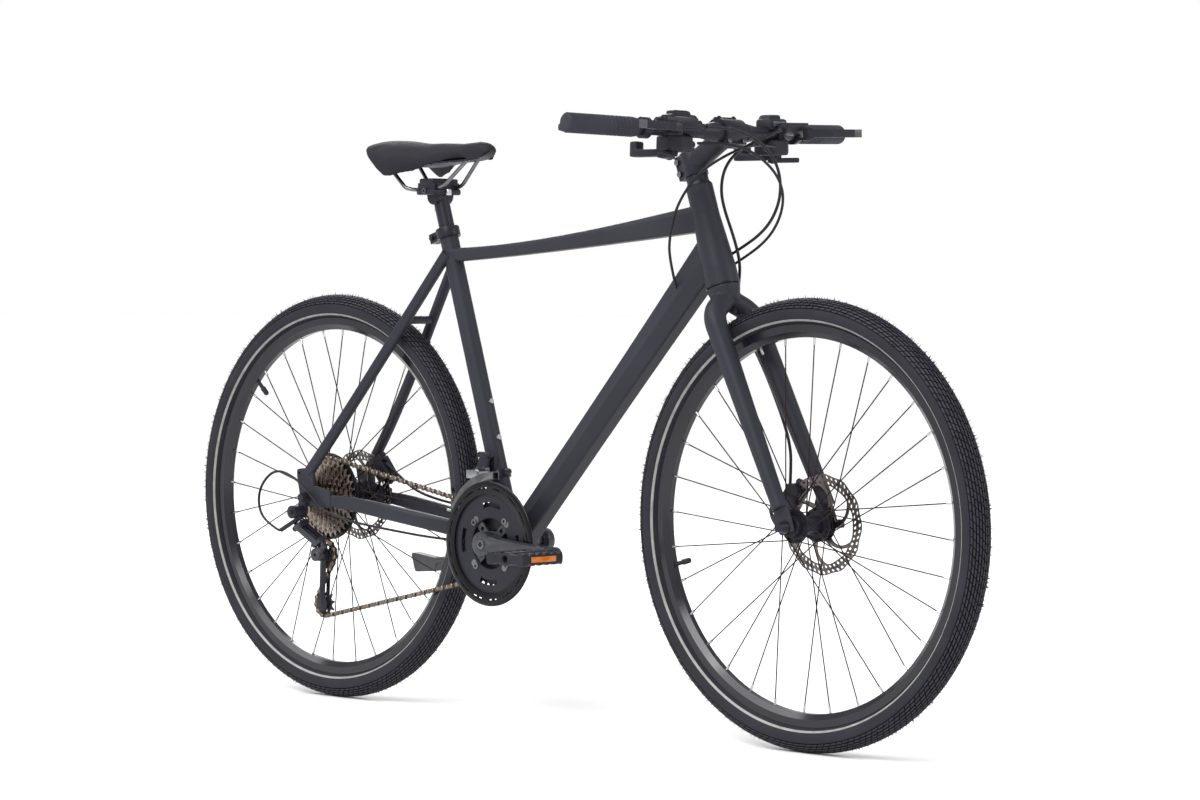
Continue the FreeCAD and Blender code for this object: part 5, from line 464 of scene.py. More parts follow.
def addCord(name, cord):
    obj = cordCurve(name, cord["route"])
    path = splinePoints(obj)
    obj.data.bevel_depth = cord["kind"]["radius"]
    obj.data.bevel_resolution = cord["kind"]["sides"]
    obj.data.use_fill_caps = True
    pick(obj)
    bpy.ops.object.convert(target="MESH")
    obj = named(name)
    tidyMesh(obj)
    smooth(obj, 50)
    paint(obj, cord["kind"]["finish"])
    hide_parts(cord["stands"])
    if len(cord["rides"]) == 2:
        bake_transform(obj)
    else:
        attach(obj, cord["rides"][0])
    print(name, "laid,", round(lengthOf(path) * 1000), "mm")


for cordName, cord in cords.items():
    addCord(cordName, cord)


# tyres: a spun carcass with a raised reflective band, tread blocks rolled on, moulding hairs and a valve

tyre = {"crown": 0.0235, "ring": 0.3345, "neck": (0.3172, 0.0100), "cheek": (0.3238, 0.0197),
        "bead": 0.3124, "foot": 0.0075, "wall": (0.3190, 0.3290), "shoulder": 80, "steps": 160,
        "band": (0.3214, 0.3246), "bandRise": 0.0003, "bandEdge": 0.0002}
tread = {"half": 72, "lip": 2, "floor": (1, 0.75, 0.5, 0.25), "ribs": 12, "units": 168, "inset": 0.0010,
         "depth": 0.0016, "slant": 0.030, "topShare": 0.2, "topLip": 1, "grooveShadeFrom": 0.8}
hair = {"count": 1500, "long": (0.0026, 0.0062), "wide": 0.0009, "lean": 0.5, "bareBelow": -0.97, "seed": 11}
valve = {"angles": {"front": 195, "rear": 138}, "root": 0.298, "stem": 0.0036, "sides": 20,
         "profile": ((0.0, 1.0), (0.016, 1.0), (0.0162, 0.8), (0.019, 0.8), (0.0192, 1.35), (0.033, 1.25),
                     (0.0345, 0.9))}


def circleThrough(a, b, c):  # centre and radius of the circle by three points
    ax, ay, bx, by, cx, cy = *a, *b, *c
    d = 2 * (ax * (by - cy) + bx * (cy - ay) + cx * (ay - by))
    aa, bb, cc = ax * ax + ay * ay, bx * bx + by * by, cx * cx + cy * cy
    ux = (aa * (by - cy) + bb * (cy - ay) + cc * (ay - by)) / d
    uy = (aa * (cx - bx) + bb * (ax - cx) + cc * (bx - ax)) / d
    return (ux, uy), math.hypot(ax - ux, ay - uy)


def sidewallOffset(radius):
    side = (tyre["ring"], tyre["crown"])
    (mx, my), size = circleThrough(tyre["neck"], tyre["cheek"], side)
    return my + math.sqrt(max(size * size - (radius - mx) ** 2, 0))


def crownPoint(reach, turn):  # radius and side at so many degrees off the crown
    angle = math.radians(turn)
    return tyre["ring"] + reach * math.cos(angle), reach * math.sin(angle)


def tyreProfile():  # bead to bead, by the groove floor
    low, high = tyre["band"]
    inner, outer = tyre["wall"]
    rise = tyre["bandRise"]
    step = tyre["bandEdge"]
    half = [(tyre["bead"], tyre["foot"]), (tyre["bead"], tyre["neck"][1]), tyre["neck"]]
    for radius, lift in ((inner, 0), (low - step, 0), (low, rise), (high, rise), (high + step, 0), (outer, 0),
                         (tyre["ring"], 0)):
        half.append((radius, sidewallOffset(radius) + lift))
    edge = tread["half"]
    floor = tyre["crown"] - tread["depth"]
    half += [crownPoint(tyre["crown"], turn) for turn in (tyre["shoulder"], edge + tread["lip"])]
    half += [crownPoint(floor, edge * share) for share in tread["floor"]]
    return half + [(tyre["ring"] + floor, 0.0)] + [(r, -y) for r, y in reversed(half)]


def spinCarcass(name, axle):
    points = [(axle.x + r, axle.y + y, axle.z) for r, y in tyreProfile()]
    count = len(points)
    obj = addMesh(name, points, [(i, (i + 1) % count) for i in range(count)], [])
    editAll(obj)
    bpy.ops.mesh.spin(steps=tyre["steps"], angle=math.tau, center=axle, axis=(0, 1, 0))
    endEdit()
    return tidyMesh(obj)


def rollTread(name, axle):
    across = math.radians(tread["half"]) * tyre["crown"] * 2
    around = math.tau * (tyre["ring"] + tyre["crown"])
    clearSelection()
    bpy.ops.mesh.primitive_grid_add(x_subdivisions=tread["units"], y_subdivisions=tread["ribs"], size=1)
    obj = named(name)
    obj.scale = (around, across, 1)
    settle(obj)
    editAll(obj)
    bpy.ops.mesh.inset(thickness=tread["inset"], use_individual=True)
    bpy.ops.mesh.extrude_region_move(TRANSFORM_OT_translate={"value": (0, 0, tread["depth"])})
    endEdit()
    floor = tyre["crown"] - tread["depth"]
    for vertex in obj.data.vertices:  # unrolled strip to ring
        along, side, height = vertex.co
        turn = side / tyre["crown"]
        along += tread["slant"] * abs(side) / across * 2
        reach = floor + height
        angle = along / around * math.tau
        radius = tyre["ring"] + reach * math.cos(turn)
        place = Vector((radius * math.cos(angle), reach * math.sin(turn), radius * math.sin(angle)))
        vertex.co = axle + place
    return tidyMesh(obj)


def growHairs(name, axle):  # moulding hairs left standing on the tread, none where it meets the floor
    draw = random.Random(hair["seed"])
    points, faces = [], []
    wide = hair["wide"]
    for _ in range(hair["count"]):
        angle = draw.uniform(0, math.tau)
        turn = draw.uniform(-1, 1) * math.radians(tread["half"])
        tall = draw.uniform(*hair["long"])
        if math.sin(angle) < hair["bareBelow"]:
            continue
        out = Vector((math.cos(angle) * math.cos(turn), math.sin(turn), math.sin(angle) * math.cos(turn)))
        around = Vector((-math.sin(angle), 0, math.cos(angle)))
        side = out.cross(around)
        ring = axle + Vector((math.cos(angle), 0, math.sin(angle))) * tyre["ring"]
        foot = ring + out * (tyre["crown"] - tread["depth"])
        tip = ring + out * (tyre["crown"] + tall) + around * draw.uniform(-1, 1) * tall * hair["lean"]
        first = len(points)
        points += [foot + around * wide, foot + side * wide, foot - around * wide, foot - side * wide, tip]
        faces += [(first + i, first + (i + 1) % 4, first + 4) for i in range(4)]
        faces.append((first + 3, first + 2, first + 1, first))
    return tidyMesh(addMesh(name, points, [], faces), 0.000001)


def addValve(name, axle, angle):
    profile = valve["profile"]
    clearSelection()
    bpy.ops.mesh.primitive_circle_add(vertices=valve["sides"], radius=valve["stem"], fill_type="NGON")
    obj = named(name)
    bpy.ops.object.mode_set(mode="EDIT")
    for (low, share), (high, nextShare) in zip(profile, profile[1:]):
        bpy.ops.mesh.extrude_region_move(TRANSFORM_OT_translate={"value": (0, 0, high - low)})
        bpy.ops.transform.resize(value=(nextShare / share,) * 3)
    endEdit()
    turn = math.radians(angle)
    obj.rotation_euler = (0, -math.pi / 2 - turn, 0)
    obj.location = axle + Vector((math.cos(turn), 0, math.sin(turn))) * valve["root"]
    settle(obj)
    return tidyMesh(obj)


def addTyre(name, wheel):
    axle = axleOf(wheel + "_rim")
    carcass = spinCarcass(name, axle)
    blocks = rollTread(name + "Tread", axle)
    hairs = growHairs(name + "Hairs", axle)
    stem = addValve(name + "Valve", axle, valve["angles"][wheel])
    obj = joinAll([carcass, blocks, hairs, stem], name)
    paint(obj, "tyreRubber")
    low, high = tyre["band"]
    top = tyre["crown"] - tread["depth"] * tread["topShare"]
    dark = tyre["crown"] * tread["grooveShadeFrom"]
    edge = math.cos(math.radians(tread["half"] + tread["topLip"]))

    def onTread(p):  # height above the carcass ring, or zero off the tread
        rise = offAxle(p, axle) - tyre["ring"]
        reach = math.hypot(rise, p.y)
        return reach if rise > reach * edge else 0

    mark(obj, "stripeGrey", lambda p: low < offAxle(p, axle) < high and abs(p.y) > tyre["foot"])
    # the tread block tops get the lighter finish as a painted sheen
    mark(obj, "treadTopPaintedSheen", lambda p: onTread(p) > top)
    # the groove floors and walls get the darker finish as painted shade
    mark(obj, "groovePaintedShade", lambda p: dark < onTread(p) <= top)
    smooth(obj, 40)
    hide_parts(wheel + "_tyre")
    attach(obj, wheel + "_wheel")


addTyre("frontTyre", "front")
addTyre("rearTyre", "rear")
print("tyres rolled")


# saddle: the cover's skin is blown up over its foam as cloth, held along the underside

saddle = {"voxel": 0.0045, "relax": 8, "shrink": 0.0025, "pressure": 4.0, "frames": 18, "cap": 0.005,
          "fill": 0.85, "heldBelow": -0.55, "slice": 0.008, "thinnest": 0.001,
          "skirtDown": ((0.30, 0.0), (0.95, 1.0)), "skirtOut": ((0.55, 0.0), (0.92, 1.0)),
          "rise": ((-0.425, 0.008), (-0.370, 0.006), (-0.300, 0.001), (-0.240, 0.0), (-0.157, 0.0)),
          "skirt": ((-0.425, -0.002), (-0.405, 0.006), (-0.360, 0.023), (-0.320, 0.017), (-0.270, 0.003),
                    (-0.230, -0.005), (-0.205, 0.004), (-0.184, 0.010), (-0.164, 0.004), (-0.157, 0.0)),
          "shellTuck": 0.955}


def between(table, at):  # smooth steps through a table of place and value
    if at <= table[0][0]:
        return table[0][1]
    for (low, first), (high, second) in zip(table, table[1:]):
        if at <= high:
            share = (at - low) / (high - low)
            return first + (second - first) * share * share * (3 - 2 * share)
    return table[-1][1]


def dropSkirt(obj):  # the flanks hang lower than the middle of the underside
    slices = {}
    for vertex in obj.data.vertices:
        slices.setdefault(round(vertex.co.x / saddle["slice"]), []).append(vertex)
    for row in slices.values():
        top = max(v.co.z for v in row)
        low = min(v.co.z for v in row)
        half = max(abs(v.co.y) for v in row)
        for vertex in row:
            down = between(saddle["skirtDown"], (top - vertex.co.z) / max(top - low, saddle["thinnest"]))
            out = between(saddle["skirtOut"], abs(vertex.co.y) / max(half, saddle["thinnest"]))
            drop = between(saddle["skirt"], vertex.co.x) * down * out
            vertex.co.z += between(saddle["rise"], vertex.co.x) - drop


def copyNode(node, name):
    obj = nodes[node].copy()
    obj.data = nodes[node].data.copy()
    for key in list(obj.keys()):
        del obj[key]
    obj.parent = None
    bpy.context.scene.collection.objects.link(obj)
    pick(obj)
    named(name)
    return tidyMesh(obj)


def evenOut(obj, voxel, relax):  # even faces, then rounded
    even = obj.modifiers.new("even", "REMESH")
    even.mode = "VOXEL"
    even.voxel_size = voxel
    soft = obj.modifiers.new("soft", "SMOOTH")
    soft.factor = 0.5
    soft.iterations = relax
    return applyModifiers(obj)


def fatten(obj, amount):
    editAll(obj)
    bpy.ops.transform.shrink_fatten(value=amount)
    endEdit()


def addSaddle():
    obj = copyNode("saddle_cover", "saddleCover")
    evenOut(obj, saddle["voxel"], saddle["relax"])
    dropSkirt(obj)
    fatten(obj, -saddle["shrink"])
    start = [vertex.co.copy() for vertex in obj.data.vertices]
    held = obj.vertex_groups.new(name="held")
    held.add([v.index for v in obj.data.vertices if v.normal.z < saddle["heldBelow"]], 1.0, "REPLACE")
    skin = obj.modifiers.new("skin", "CLOTH")
    skin.settings.use_pressure = True
    skin.settings.uniform_pressure_force = saddle["pressure"]
    skin.settings.effector_weights.gravity = 0
    skin.settings.vertex_group_mass = "held"
    for step in range(1, saddle["frames"] + 1):
        bpy.context.scene.frame_set(step)
    applyModifiers(obj)
    bpy.context.scene.frame_set(1)
    for vertex, rest in zip(obj.data.vertices, start):
        shift = vertex.co - rest
        if shift.length > saddle["cap"]:
            vertex.co = rest + shift.normalized() * saddle["cap"]
    finish = obj.modifiers.new("finish", "SUBSURF")
    finish.levels = finish.render_levels = 1
    applyModifiers(obj)
    bpy.ops.object.shade_smooth()
    paint(obj, "saddleSkin")
    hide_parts("saddle_cover")
    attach(obj, "seat")


def addShell():  # the hard base follows the cover's line, tucked inside it
    obj = copyNode("saddle_base", "saddleShell")
    middle = axleOf("saddle_base")
    for vertex in obj.data.vertices:
        along = middle.x + (vertex.co.x - middle.x) * saddle["shellTuck"]
        across = vertex.co.y * saddle["shellTuck"]
        vertex.co = (along, across, vertex.co.z + between(saddle["rise"], along))
    smooth(obj)
    paint(obj, "mouldedBlack")
    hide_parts("saddle_base")
    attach(obj, "seat")


addSaddle()
addShell()
print("saddle covered")


# fittings: the solids' edges are rounded, or the whole form is moulded soft, and small parts are added

brakeLever = {"finish": "satinBlack", "edge": 0.0022}
thumbLever = {"finish": "mouldedBlack", "voxel": 0.0010, "relax": 36, "swell": 0.0042}
releaseLever = {"finish": "mouldedBlack", "voxel": 0.0009, "relax": 20, "swell": 0.0024}
caliper = {"finish": "satinBlack", "edge": 0.0014}
skewerLever = {"finish": "satinBlack", "edge": 0.0012}
pedal = {"finish": "mouldedBlack", "voxel": 0.0013, "relax": 8}
fittings = {
    "stem": {"finish": "satinBlack", "edge": 0.0012},
    "stem_hardware": {"finish": "satinBlack", "edge": 0.0005, "marks": (
        ("railSteel", (0.385, -0.04, 0.94), (0.43, 0.04, 1.02)),
        ("railSteel", (0.26, -0.04, 0.90), (0.2965, 0.04, 0.95)),
        ("railSteel", (0.290, -0.006, 0.956), (0.310, 0.006, 0.975)))},
    "seat_clamp": {"finish": "satinBlack", "edge": 0.0010},
    "saddle_rails": {"finish": "railSteel", "edge": 0.0007, "marks": (
        ("satinBlack", (-0.320, -0.030, 0.8975), (-0.274, 0.030, 0.9095)),
        ("brightSteel", (-0.318, -0.0046, 0.855), (-0.294, 0.0046, 0.8975)))},
    "grips": {"finish": "gripRubber", "edge": 0.0010},
    "brake_lever_bodies": {"finish": "satinBlack", "edge": 0.0012},
    # the outer ends of both brake levers get the grey finish as a painted highlight
    "left_brake_lever": {**brakeLever, "marks": (("standGrey", (0.0, 0.245, 0.0), (1.0, 1.0, 2.0)),)},
    "right_brake_lever": {**brakeLever, "marks": (("standGrey", (0.0, -1.0, 0.0), (1.0, -0.245, 2.0)),)},
    "shifter_bodies": {"finish": "mouldedBlack", "voxel": 0.0013, "relax": 60, "swell": 0.0024},
    "left_shift_lever": thumbLever,
    "right_shift_lever": thumbLever,
    "left_release_lever": releaseLever,
    "right_release_lever": releaseLever,
    "front_brake_caliper": caliper,
    "rear_brake_caliper": caliper,
    "front_skewer_lever": skewerLever,
    "rear_skewer_lever": skewerLever,
    "crank_arms": {"finish": "gunmetal", "edge": 0.0022},
    "right_pedal": pedal,
    "left_pedal": pedal,
    "front_derailleur_clamp": {"finish": "satinBlack", "edge": 0.0010},
    "front_derailleur_link": {"finish": "satinBlack", "edge": 0.0008},
    "front_derailleur_cage": {"finish": "railSteel", "edge": 0.0005},
    "derailleur_bracket": {"finish": "satinBlack", "edge": 0.0014},
    "derailleur_outer_link": {"finish": "gunmetal", "edge": 0.0014},
    "derailleur_inner_link": {"finish": "satinBlack", "edge": 0.0014},
    "derailleur_knuckle": {"finish": "gunmetal", "edge": 0.0014},
    "derailleur_cage": {"finish": "satinBlack", "edge": 0.0006},
    "kickstand": {"finish": "standGrey", "voxel": 0.0013, "relax": 24},
    "fork": {"finish": "framePaint", "voxel": 0.0017, "relax": 10},
}
rounding = {"flat": 1.5, "sharp": 28, "wallSharp": 50, "segments": 2}  # angles in degrees


def pieceName(node):
    first, *rest = node.split("_")
    return first + "".join(word.capitalize() for word in rest)


def addBevel(obj, width, sharp):
    edge = obj.modifiers.new("edge", "BEVEL")
    edge.width = width
    edge.segments = rounding["segments"]
    edge.limit_method = "ANGLE"
    edge.angle_limit = math.radians(sharp)


def roundEdges(obj, width):
    editAll(obj)
    bpy.ops.mesh.dissolve_limited(angle_limit=math.radians(rounding["flat"]))
    endEdit()
    addBevel(obj, width, rounding["sharp"])
    return applyModifiers(obj)


def addBlock(name, low, high, edge):  # bevelled block between two corners
    clearSelection()
    low, high = Vector(low), Vector(high)
    bpy.ops.mesh.primitive_cube_add(size=1, location=(low + high) / 2)
    obj = named(name)
    obj.scale = high - low
    settle(obj)
    return roundEdges(obj, edge)


pedalLens = {"proud": 0.0012, "deep": 0.004, "half": 0.028, "tall": 0.0046, "edge": 0.0008}


def pedalLenses(node):
    low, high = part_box(node)
    middle = (low + high) / 2
    pieces = []
    for at, way in ((low.x, -1), (high.x, 1)):
        near, far = sorted((at + way * pedalLens["proud"], at - way * pedalLens["deep"]))
        corner = (near, middle.y - pedalLens["half"], middle.z - pedalLens["tall"])
        opposite = (far, middle.y + pedalLens["half"], middle.z + pedalLens["tall"])
        pieces.append(addBlock("lens", corner, opposite, pedalLens["edge"]))
    return ((pieces, "amberLens"),)


barPlace = {"bend": (0.38162, 0.080, 0.97911), "turn": (1.7, 0, 11.0)}


def onBar(point, side):  # from the bar's own axes to the bicycle's, side 1 is left
    turn = Euler([math.radians(a) for a in barPlace["turn"]])
    place = Vector(barPlace["bend"]) + turn.to_matrix() @ Vector(point)
    return Vector((place.x, place.y * side, place.z))


podCover = {"low": (-0.0150, 0.0030, 0.0060), "high": (0.0150, 0.0580, 0.0245), "edge": 0.0055}
window = {"low": (-0.0100, 0.0150, 0.0150), "high": (0.0084, 0.0425, 0.0270), "edge": 0.0012}
frontPane = {"low": (0.0120, 0.0120, 0.0115), "high": (0.0162, 0.0480, 0.0205), "edge": 0.0012}


def podCovers(node):
    covers, panes = [], []
    for side in (1, -1):
        for part, group in ((podCover, covers), (window, panes), (frontPane, panes)):
            block = addBlock("cover", part["low"], part["high"], part["edge"])
            for vertex in block.data.vertices:
                vertex.co = onBar(vertex.co, side)
            group.append(tidyMesh(block))
    return (covers, "mouldedBlack"), (panes, "displayGrey")


cageBody = {"edge": 0.0026, "blocks": (((-0.1790, -0.0462, 0.4050), (-0.1500, -0.0310, 0.4205)),
                                       ((-0.1520, -0.0445, 0.4085), (-0.1290, -0.0330, 0.4190)),
                                       ((-0.1640, -0.0465, 0.4010), (-0.1380, -0.0400, 0.4100)))}


def cageBodies(node):
    blocks = [addBlock("body", low, high, cageBody["edge"]) for low, high in cageBody["blocks"]]
    return ((blocks, "satinAlloy"),)


extras = {"right_pedal": pedalLenses, "left_pedal": pedalLenses, "shifter_bodies": podCovers,
          "front_derailleur_cage": cageBodies}


def mould(obj, voxel, relax, swell=0.0):  # soft form from the solid's copy
    fatten(obj, swell)
    evenOut(obj, voxel, relax)
    bpy.ops.object.shade_smooth()


def addFitting(node, look):
    obj = copyNode(node, pieceName(node))
    if "voxel" in look:
        mould(obj, look["voxel"], look["relax"], look.get("swell", 0.0))
    else:
        smooth(roundEdges(obj, look["edge"]))
    paint(obj, look["finish"])
    for finish, low, high in look.get("marks", ()):
        mark(obj, finish, within(low, high))
    if node in extras:
        added = []
        for pieces, finish in extras[node](node):
            for piece in pieces:
                coat(smooth(piece), finish)
                added.append(piece)
        obj = joinAll([obj] + added, pieceName(node))
    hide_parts(node)
    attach(obj, bodyOf[node])


for fitting, look in fittings.items():
    addFitting(fitting, look)
print("fittings rounded:", len(fittings))


# rings cut from sheet: a flat grid is pierced, then rolled round the axle

def flatGrid(name, columns, rows, long, wide):
    clearSelection()
    bpy.ops.mesh.primitive_grid_add(x_subdivisions=columns, y_subdivisions=rows, size=1)
    obj = named(name)
    obj.scale = (long, wide, 1)
    return settle(obj)


def pierce(obj, margin):  # a hole in every cell
    editAll(obj)
    bpy.ops.mesh.inset(thickness=margin, use_individual=True)
    bpy.ops.mesh.delete(type="FACE")
    endEdit()
    return obj


def editFaces(obj, test):  # edit mode with only the faces that pass the test chosen
    pick(obj)
    bpy.ops.object.mode_set(mode="EDIT")
    bpy.ops.mesh.select_mode(type="FACE")
    bpy.ops.mesh.select_all(action="DESELECT")
    endEdit()
    for face in obj.data.polygons:
        face.select = test(face.center)
    bpy.ops.object.mode_set(mode="EDIT")


def endFaces():
    bpy.ops.mesh.select_mode(type="VERT")
    endEdit()


def cutOut(obj, test):  # take away the faces that pass the test
    editFaces(obj, test)
    bpy.ops.mesh.delete(type="FACE")
    endFaces()


def roll(obj, axle, long, wide, shape):  # shape gives angle, radius and side from shares along and across
    for vertex in obj.data.vertices:
        angle, radius, side = shape(vertex.co.x / long + 0.5, vertex.co.y / wide + 0.5)
        vertex.co = (axle.x + radius * math.cos(angle), axle.y + side, axle.z + radius * math.sin(angle))
    return tidyMesh(obj)


def thicken(obj, thick, levels=0, edge=0.0):
    if levels:
        curve = obj.modifiers.new("curve", "SUBSURF")
        curve.levels = curve.render_levels = levels
    wall = obj.modifiers.new("wall", "SOLIDIFY")
    wall.thickness = thick
    wall.offset = 0
    if edge:
        addBevel(obj, edge, rounding["wallSharp"])
    applyModifiers(obj)
    return tidyMesh(obj, 0.000005)


def spinCopies(obj, axle, count):
    turn = math.tau * (count - 1) / count
    editAll(obj)
    bpy.ops.mesh.spin(steps=count - 1, dupli=True, angle=turn, center=axle, axis=(0, 1, 0))
    endEdit()
    return obj


# shares of a bolt's own sizes, apart from its sides
boltHead = {"sides": 24, "deep": 0.8, "edge": 0.08, "flat": 0.01, "shadeWide": 1.01, "shadeFrom": 0.05}


def addRod(name, place, radius, long, sides):  # along Y
    clearSelection()
    bpy.ops.mesh.primitive_cylinder_add(vertices=sides, radius=radius, depth=long, location=place,
                                        rotation=(math.pi / 2, 0, 0))
    return settle(named(name))


def socketBolt(name, place, radius, tall, socket, way=-1):  # head along Y, with a round socket
    foot = Vector(place)
    crown = foot.y + way * tall
    obj = addRod(name, foot + Vector((0, way * tall / 2, 0)), radius, tall, boltHead["sides"])
    editFaces(obj, lambda p: abs(p.y - crown) < tall * boltHead["flat"])
    bpy.ops.mesh.inset(thickness=radius - socket)
    sink = -way * tall * boltHead["deep"]
    bpy.ops.mesh.extrude_region_move(TRANSFORM_OT_translate={"value": (0, sink, 0)})
    endFaces()
    coat(smooth(roundEdges(obj, radius * boltHead["edge"])), "railSteel")
    # the socket's inside gets the black finish as painted shade in the recess
    mark(obj, "satinBlack", lambda p: offAxle(p, foot) < socket * boltHead["shadeWide"]
         and way * (crown - p.y) > tall * boltHead["shadeFrom"])
    return obj


rotor = {"radii": (0.0625, 0.0795), "cells": 48, "rows": 2, "margin": 0.0018, "lean": 0.13, "wave": 0.0026,
         "waves": 12, "waveFrom": 0.3, "curve": 2, "thick": 0.0018, "bolt": (0.0040, 0.0022, 0.0021),
         "boltCircle": 0.0195, "sides": {"front": 0.0345, "rear": 0.0520}}
rotorArm = {"count": 6, "from": 0.0235, "to": 0.0645, "wide": 0.0092, "waist": (1.25, 0.5), "turn": 0.62,
            "bow": 1.6, "grid": (10, 2), "thickShare": 0.96}
rotorCentre = {"radii": (0.0150, 0.0265), "grid": (48, 1), "thickShare": 1.04}


def addRotor(name, wheel):
    axle = axleOf(wheel + "_rim")
    side = rotor["sides"][wheel]
    thick = rotor["thick"]
    low, high = rotor["radii"]
    long, wide = math.pi * (low + high), high - low

    def track(along, across):
        angle = along * math.tau + rotor["lean"] * across
        edge = rotor["wave"] * math.cos(angle * rotor["waves"])
        return angle, low + wide * across + edge * (across - rotor["waveFrom"]), side

    def arm(along, across):
        reach = rotorArm["from"] + (rotorArm["to"] - rotorArm["from"]) * along
        ends, waist = rotorArm["waist"]
        width = rotorArm["wide"] * (ends - waist * math.sin(along * math.pi))
        return rotorArm["turn"] * along ** rotorArm["bow"] + (across - 0.5) * width / reach, reach, side

    def carrier(along, across):
        inner, outer = rotorCentre["radii"]
        return along * math.tau, inner + (outer - inner) * across, side

    ring = pierce(flatGrid(name, rotor["cells"], rotor["rows"], long, wide), rotor["margin"])
    thicken(roll(ring, axle, long, wide, track), thick, rotor["curve"])
    arms = roll(flatGrid("arms", *rotorArm["grid"], 1, 1), axle, 1, 1, arm)
    thicken(spinCopies(arms, axle, rotorArm["count"]), thick * rotorArm["thickShare"])
    centre = roll(flatGrid("carrier", *rotorCentre["grid"], 1, 1), axle, 1, 1, carrier)
    thicken(centre, thick * rotorCentre["thickShare"])
    bolt = socketBolt("bolt", axle + Vector((rotor["boltCircle"], side + thick / 2, 0)), *rotor["bolt"], 1)
    spinCopies(bolt, axle, rotorArm["count"])
    for piece in (ring, arms, centre):
        coat(smooth(piece), "rotorSteel")
    obj = joinAll([ring, arms, centre, bolt], name)
    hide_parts(wheel + "_rotor")
    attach(obj, wheel + "_wheel")


addRotor("frontRotor", "front")
addRotor("rearRotor", "rear")
print("rotors cut")


crankAxle = axleOf("chain_guard")
crankAxle.y = 0
guard = {"columns": 96, "sections": ((0.0838, 0.0586), (0.0905, 0.0592), (0.0932, 0.0595), (0.0952, 0.0595),
                                     (0.0985, 0.0597), (0.1030, 0.0590), (0.1054, 0.0572)),
         "slotRow": (2, 3), "slots": 16, "slotShare": 0.72, "thick": 0.0020, "edge": 0.0005}
post = {"count": 4, "at": 0.0906, "turn": 15, "side": 0.0570, "radius": 0.0026, "long": 0.0040, "sides": 16,
        "edge": 0.0004}
ringWeb = {"columns": 120, "sections": (0.0440, 0.0500, 0.0590, 0.0700, 0.0850), "side": 0.0554,
           "windowRow": 2, "windows": 4, "windowShare": 0.42, "windowTurn": 3.5, "thick": 0.0006}
chainBolts = {"circle": 0.0520, "turn": 48.5, "count": 4, "foot": 0.0550, "size": (0.0058, 0.0024, 0.0030),
              "crankFoot": 0.0768, "crankSize": (0.0082, 0.0024, 0.0042)}


def bandOf(table, share):  # radius and side between a table's rows
    at = share * (len(table) - 1)
    row = min(int(at + 0.0001), len(table) - 2)
    return [a + (b - a) * (at - row) for a, b in zip(table[row], table[row + 1])]


def addGuard():
    rows = len(guard["sections"]) - 1
    obj = flatGrid("chainGuard", guard["columns"], rows, 1, 1)
    first, last = (edge / rows - 0.5 for edge in guard["slotRow"])
    cutOut(obj, lambda p: first < p.y < last and (p.x + 0.5) * guard["slots"] % 1 < guard["slotShare"])

    def band(along, across):
        radius, side = bandOf(guard["sections"], across)
        return along * math.tau, radius, -side

    thicken(roll(obj, crankAxle, 1, 1, band), guard["thick"], 0, guard["edge"])
    turn = math.radians(post["turn"])
    place = crankAxle + Vector((math.cos(turn) * post["at"], -post["side"], math.sin(turn) * post["at"]))
    rod = roundEdges(addRod("post", place, post["radius"], post["long"], post["sides"]), post["edge"])
    obj = joinAll([obj, spinCopies(rod, crankAxle, post["count"])], "chainGuard")
    smooth(obj)
    paint(obj, "guardGloss")
    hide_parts("chain_guard")
    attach(obj, "crank")


def addRingWeb():
    sections = [(radius, ringWeb["side"]) for radius in ringWeb["sections"]]
    rows = len(sections) - 1
    obj = flatGrid("ringWeb", ringWeb["columns"], rows, 1, 1)
    first, last = (edge / rows - 0.5 for edge in (ringWeb["windowRow"], ringWeb["windowRow"] + 1))
    turn = ringWeb["windowTurn"] / 360 + ringWeb["windowShare"] / ringWeb["windows"] / 2 + 0.5
    cutOut(obj, lambda p: first < p.y < last
           and (p.x + turn) * ringWeb["windows"] % 1 < ringWeb["windowShare"])

    def web(along, across):
        radius, side = bandOf(sections, across)
        return along * math.tau, radius, -side

    smooth(thicken(roll(obj, crankAxle, 1, 1, web), ringWeb["thick"]))
    paint(obj, "satinBlack")
    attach(obj, "crank")


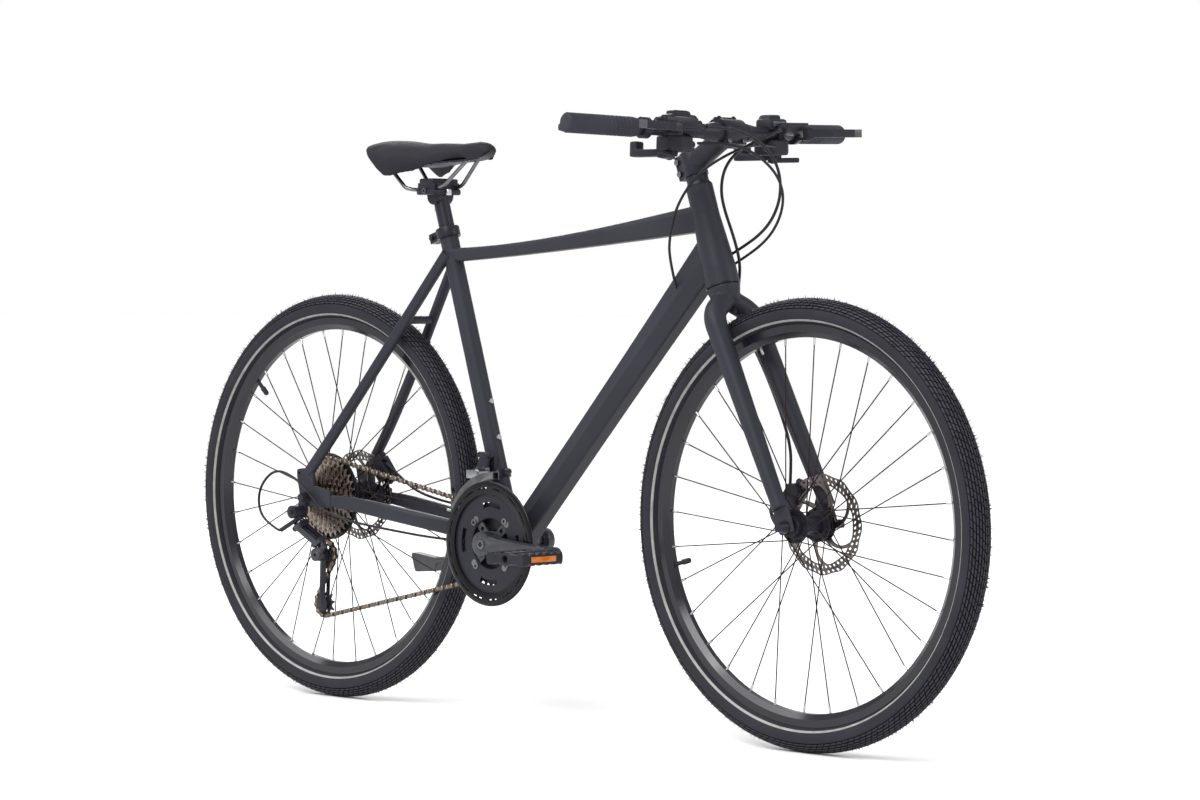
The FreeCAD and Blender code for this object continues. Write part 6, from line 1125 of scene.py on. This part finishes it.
def addChainBolts():
    turn = math.radians(chainBolts["turn"])
    reach = Vector((math.cos(turn), 0, math.sin(turn))) * chainBolts["circle"]
    foot = crankAxle + reach - Vector((0, chainBolts["foot"], 0))
    small = socketBolt("chainBolts", foot, *chainBolts["size"])
    spinCopies(small, crankAxle, chainBolts["count"])
    out = Vector((0, chainBolts["crankFoot"], 0))
    ends = [socketBolt("end", crankAxle + out * way, *chainBolts["crankSize"], way) for way in (-1, 1)]
    obj = joinAll([small] + ends, "chainBolts")
    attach(obj, "crank")


addGuard()
addRingWeb()
addChainBolts()
print("guard and chainring bolts fitted")


cradle = {"lower": ((-0.3180, -0.0330, 0.8885), (-0.2740, 0.0330, 0.8990)),
          "upper": ((-0.3140, -0.0300, 0.9060), (-0.2780, 0.0300, 0.9170)), "edge": 0.0030,
          "nut": ((-0.2755, -0.0055, 0.8880), (-0.2690, 0.0055, 0.8990)), "nutEdge": 0.0012,
          "bolt": (-0.2960, 0.0325, 0.8960), "boltSize": (0.0048, 0.0030, 0.0024)}


def addCradle():  # clamp halves that hold the rails on the post
    blocks = [addBlock("cradle", *cradle[half], cradle["edge"]) for half in ("lower", "upper")]
    for block in blocks:
        coat(smooth(block), "satinBlack")
    nut = addBlock("nut", *cradle["nut"], cradle["nutEdge"])
    coat(smooth(nut), "brightSteel")
    x, y, z = cradle["bolt"]
    bolts = [socketBolt("bolt", (x, y * way, z), *cradle["boltSize"], way) for way in (-1, 1)]
    obj = joinAll(blocks + [nut] + bolts, "railCradle")
    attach(obj, bodyOf["saddle_rails"])


addCradle()
print("rail cradle fitted")


chainLook = {"outerWide": 0.0062}  # wider links are the outer ones


def addChain():
    copyNode("chain", "driveChain")
    bpy.ops.object.mode_set(mode="EDIT")
    bpy.ops.mesh.separate(type="LOOSE")
    endEdit()
    links = list(bpy.context.selected_objects)
    for link in links:
        sides = [v.co.y for v in link.data.vertices]
        outer = max(sides) - min(sides) > chainLook["outerWide"]
        # the inner links get the darker copy as painted shade between the outer plates
        coat(link, "bronzeChain" if outer else "innerLinkPaintedShade")
    obj = smooth(joinAll(links, "driveChain"))
    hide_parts("chain")
    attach(obj, bodyOf["chain"])
    print("chain links:", len(links))


addChain()
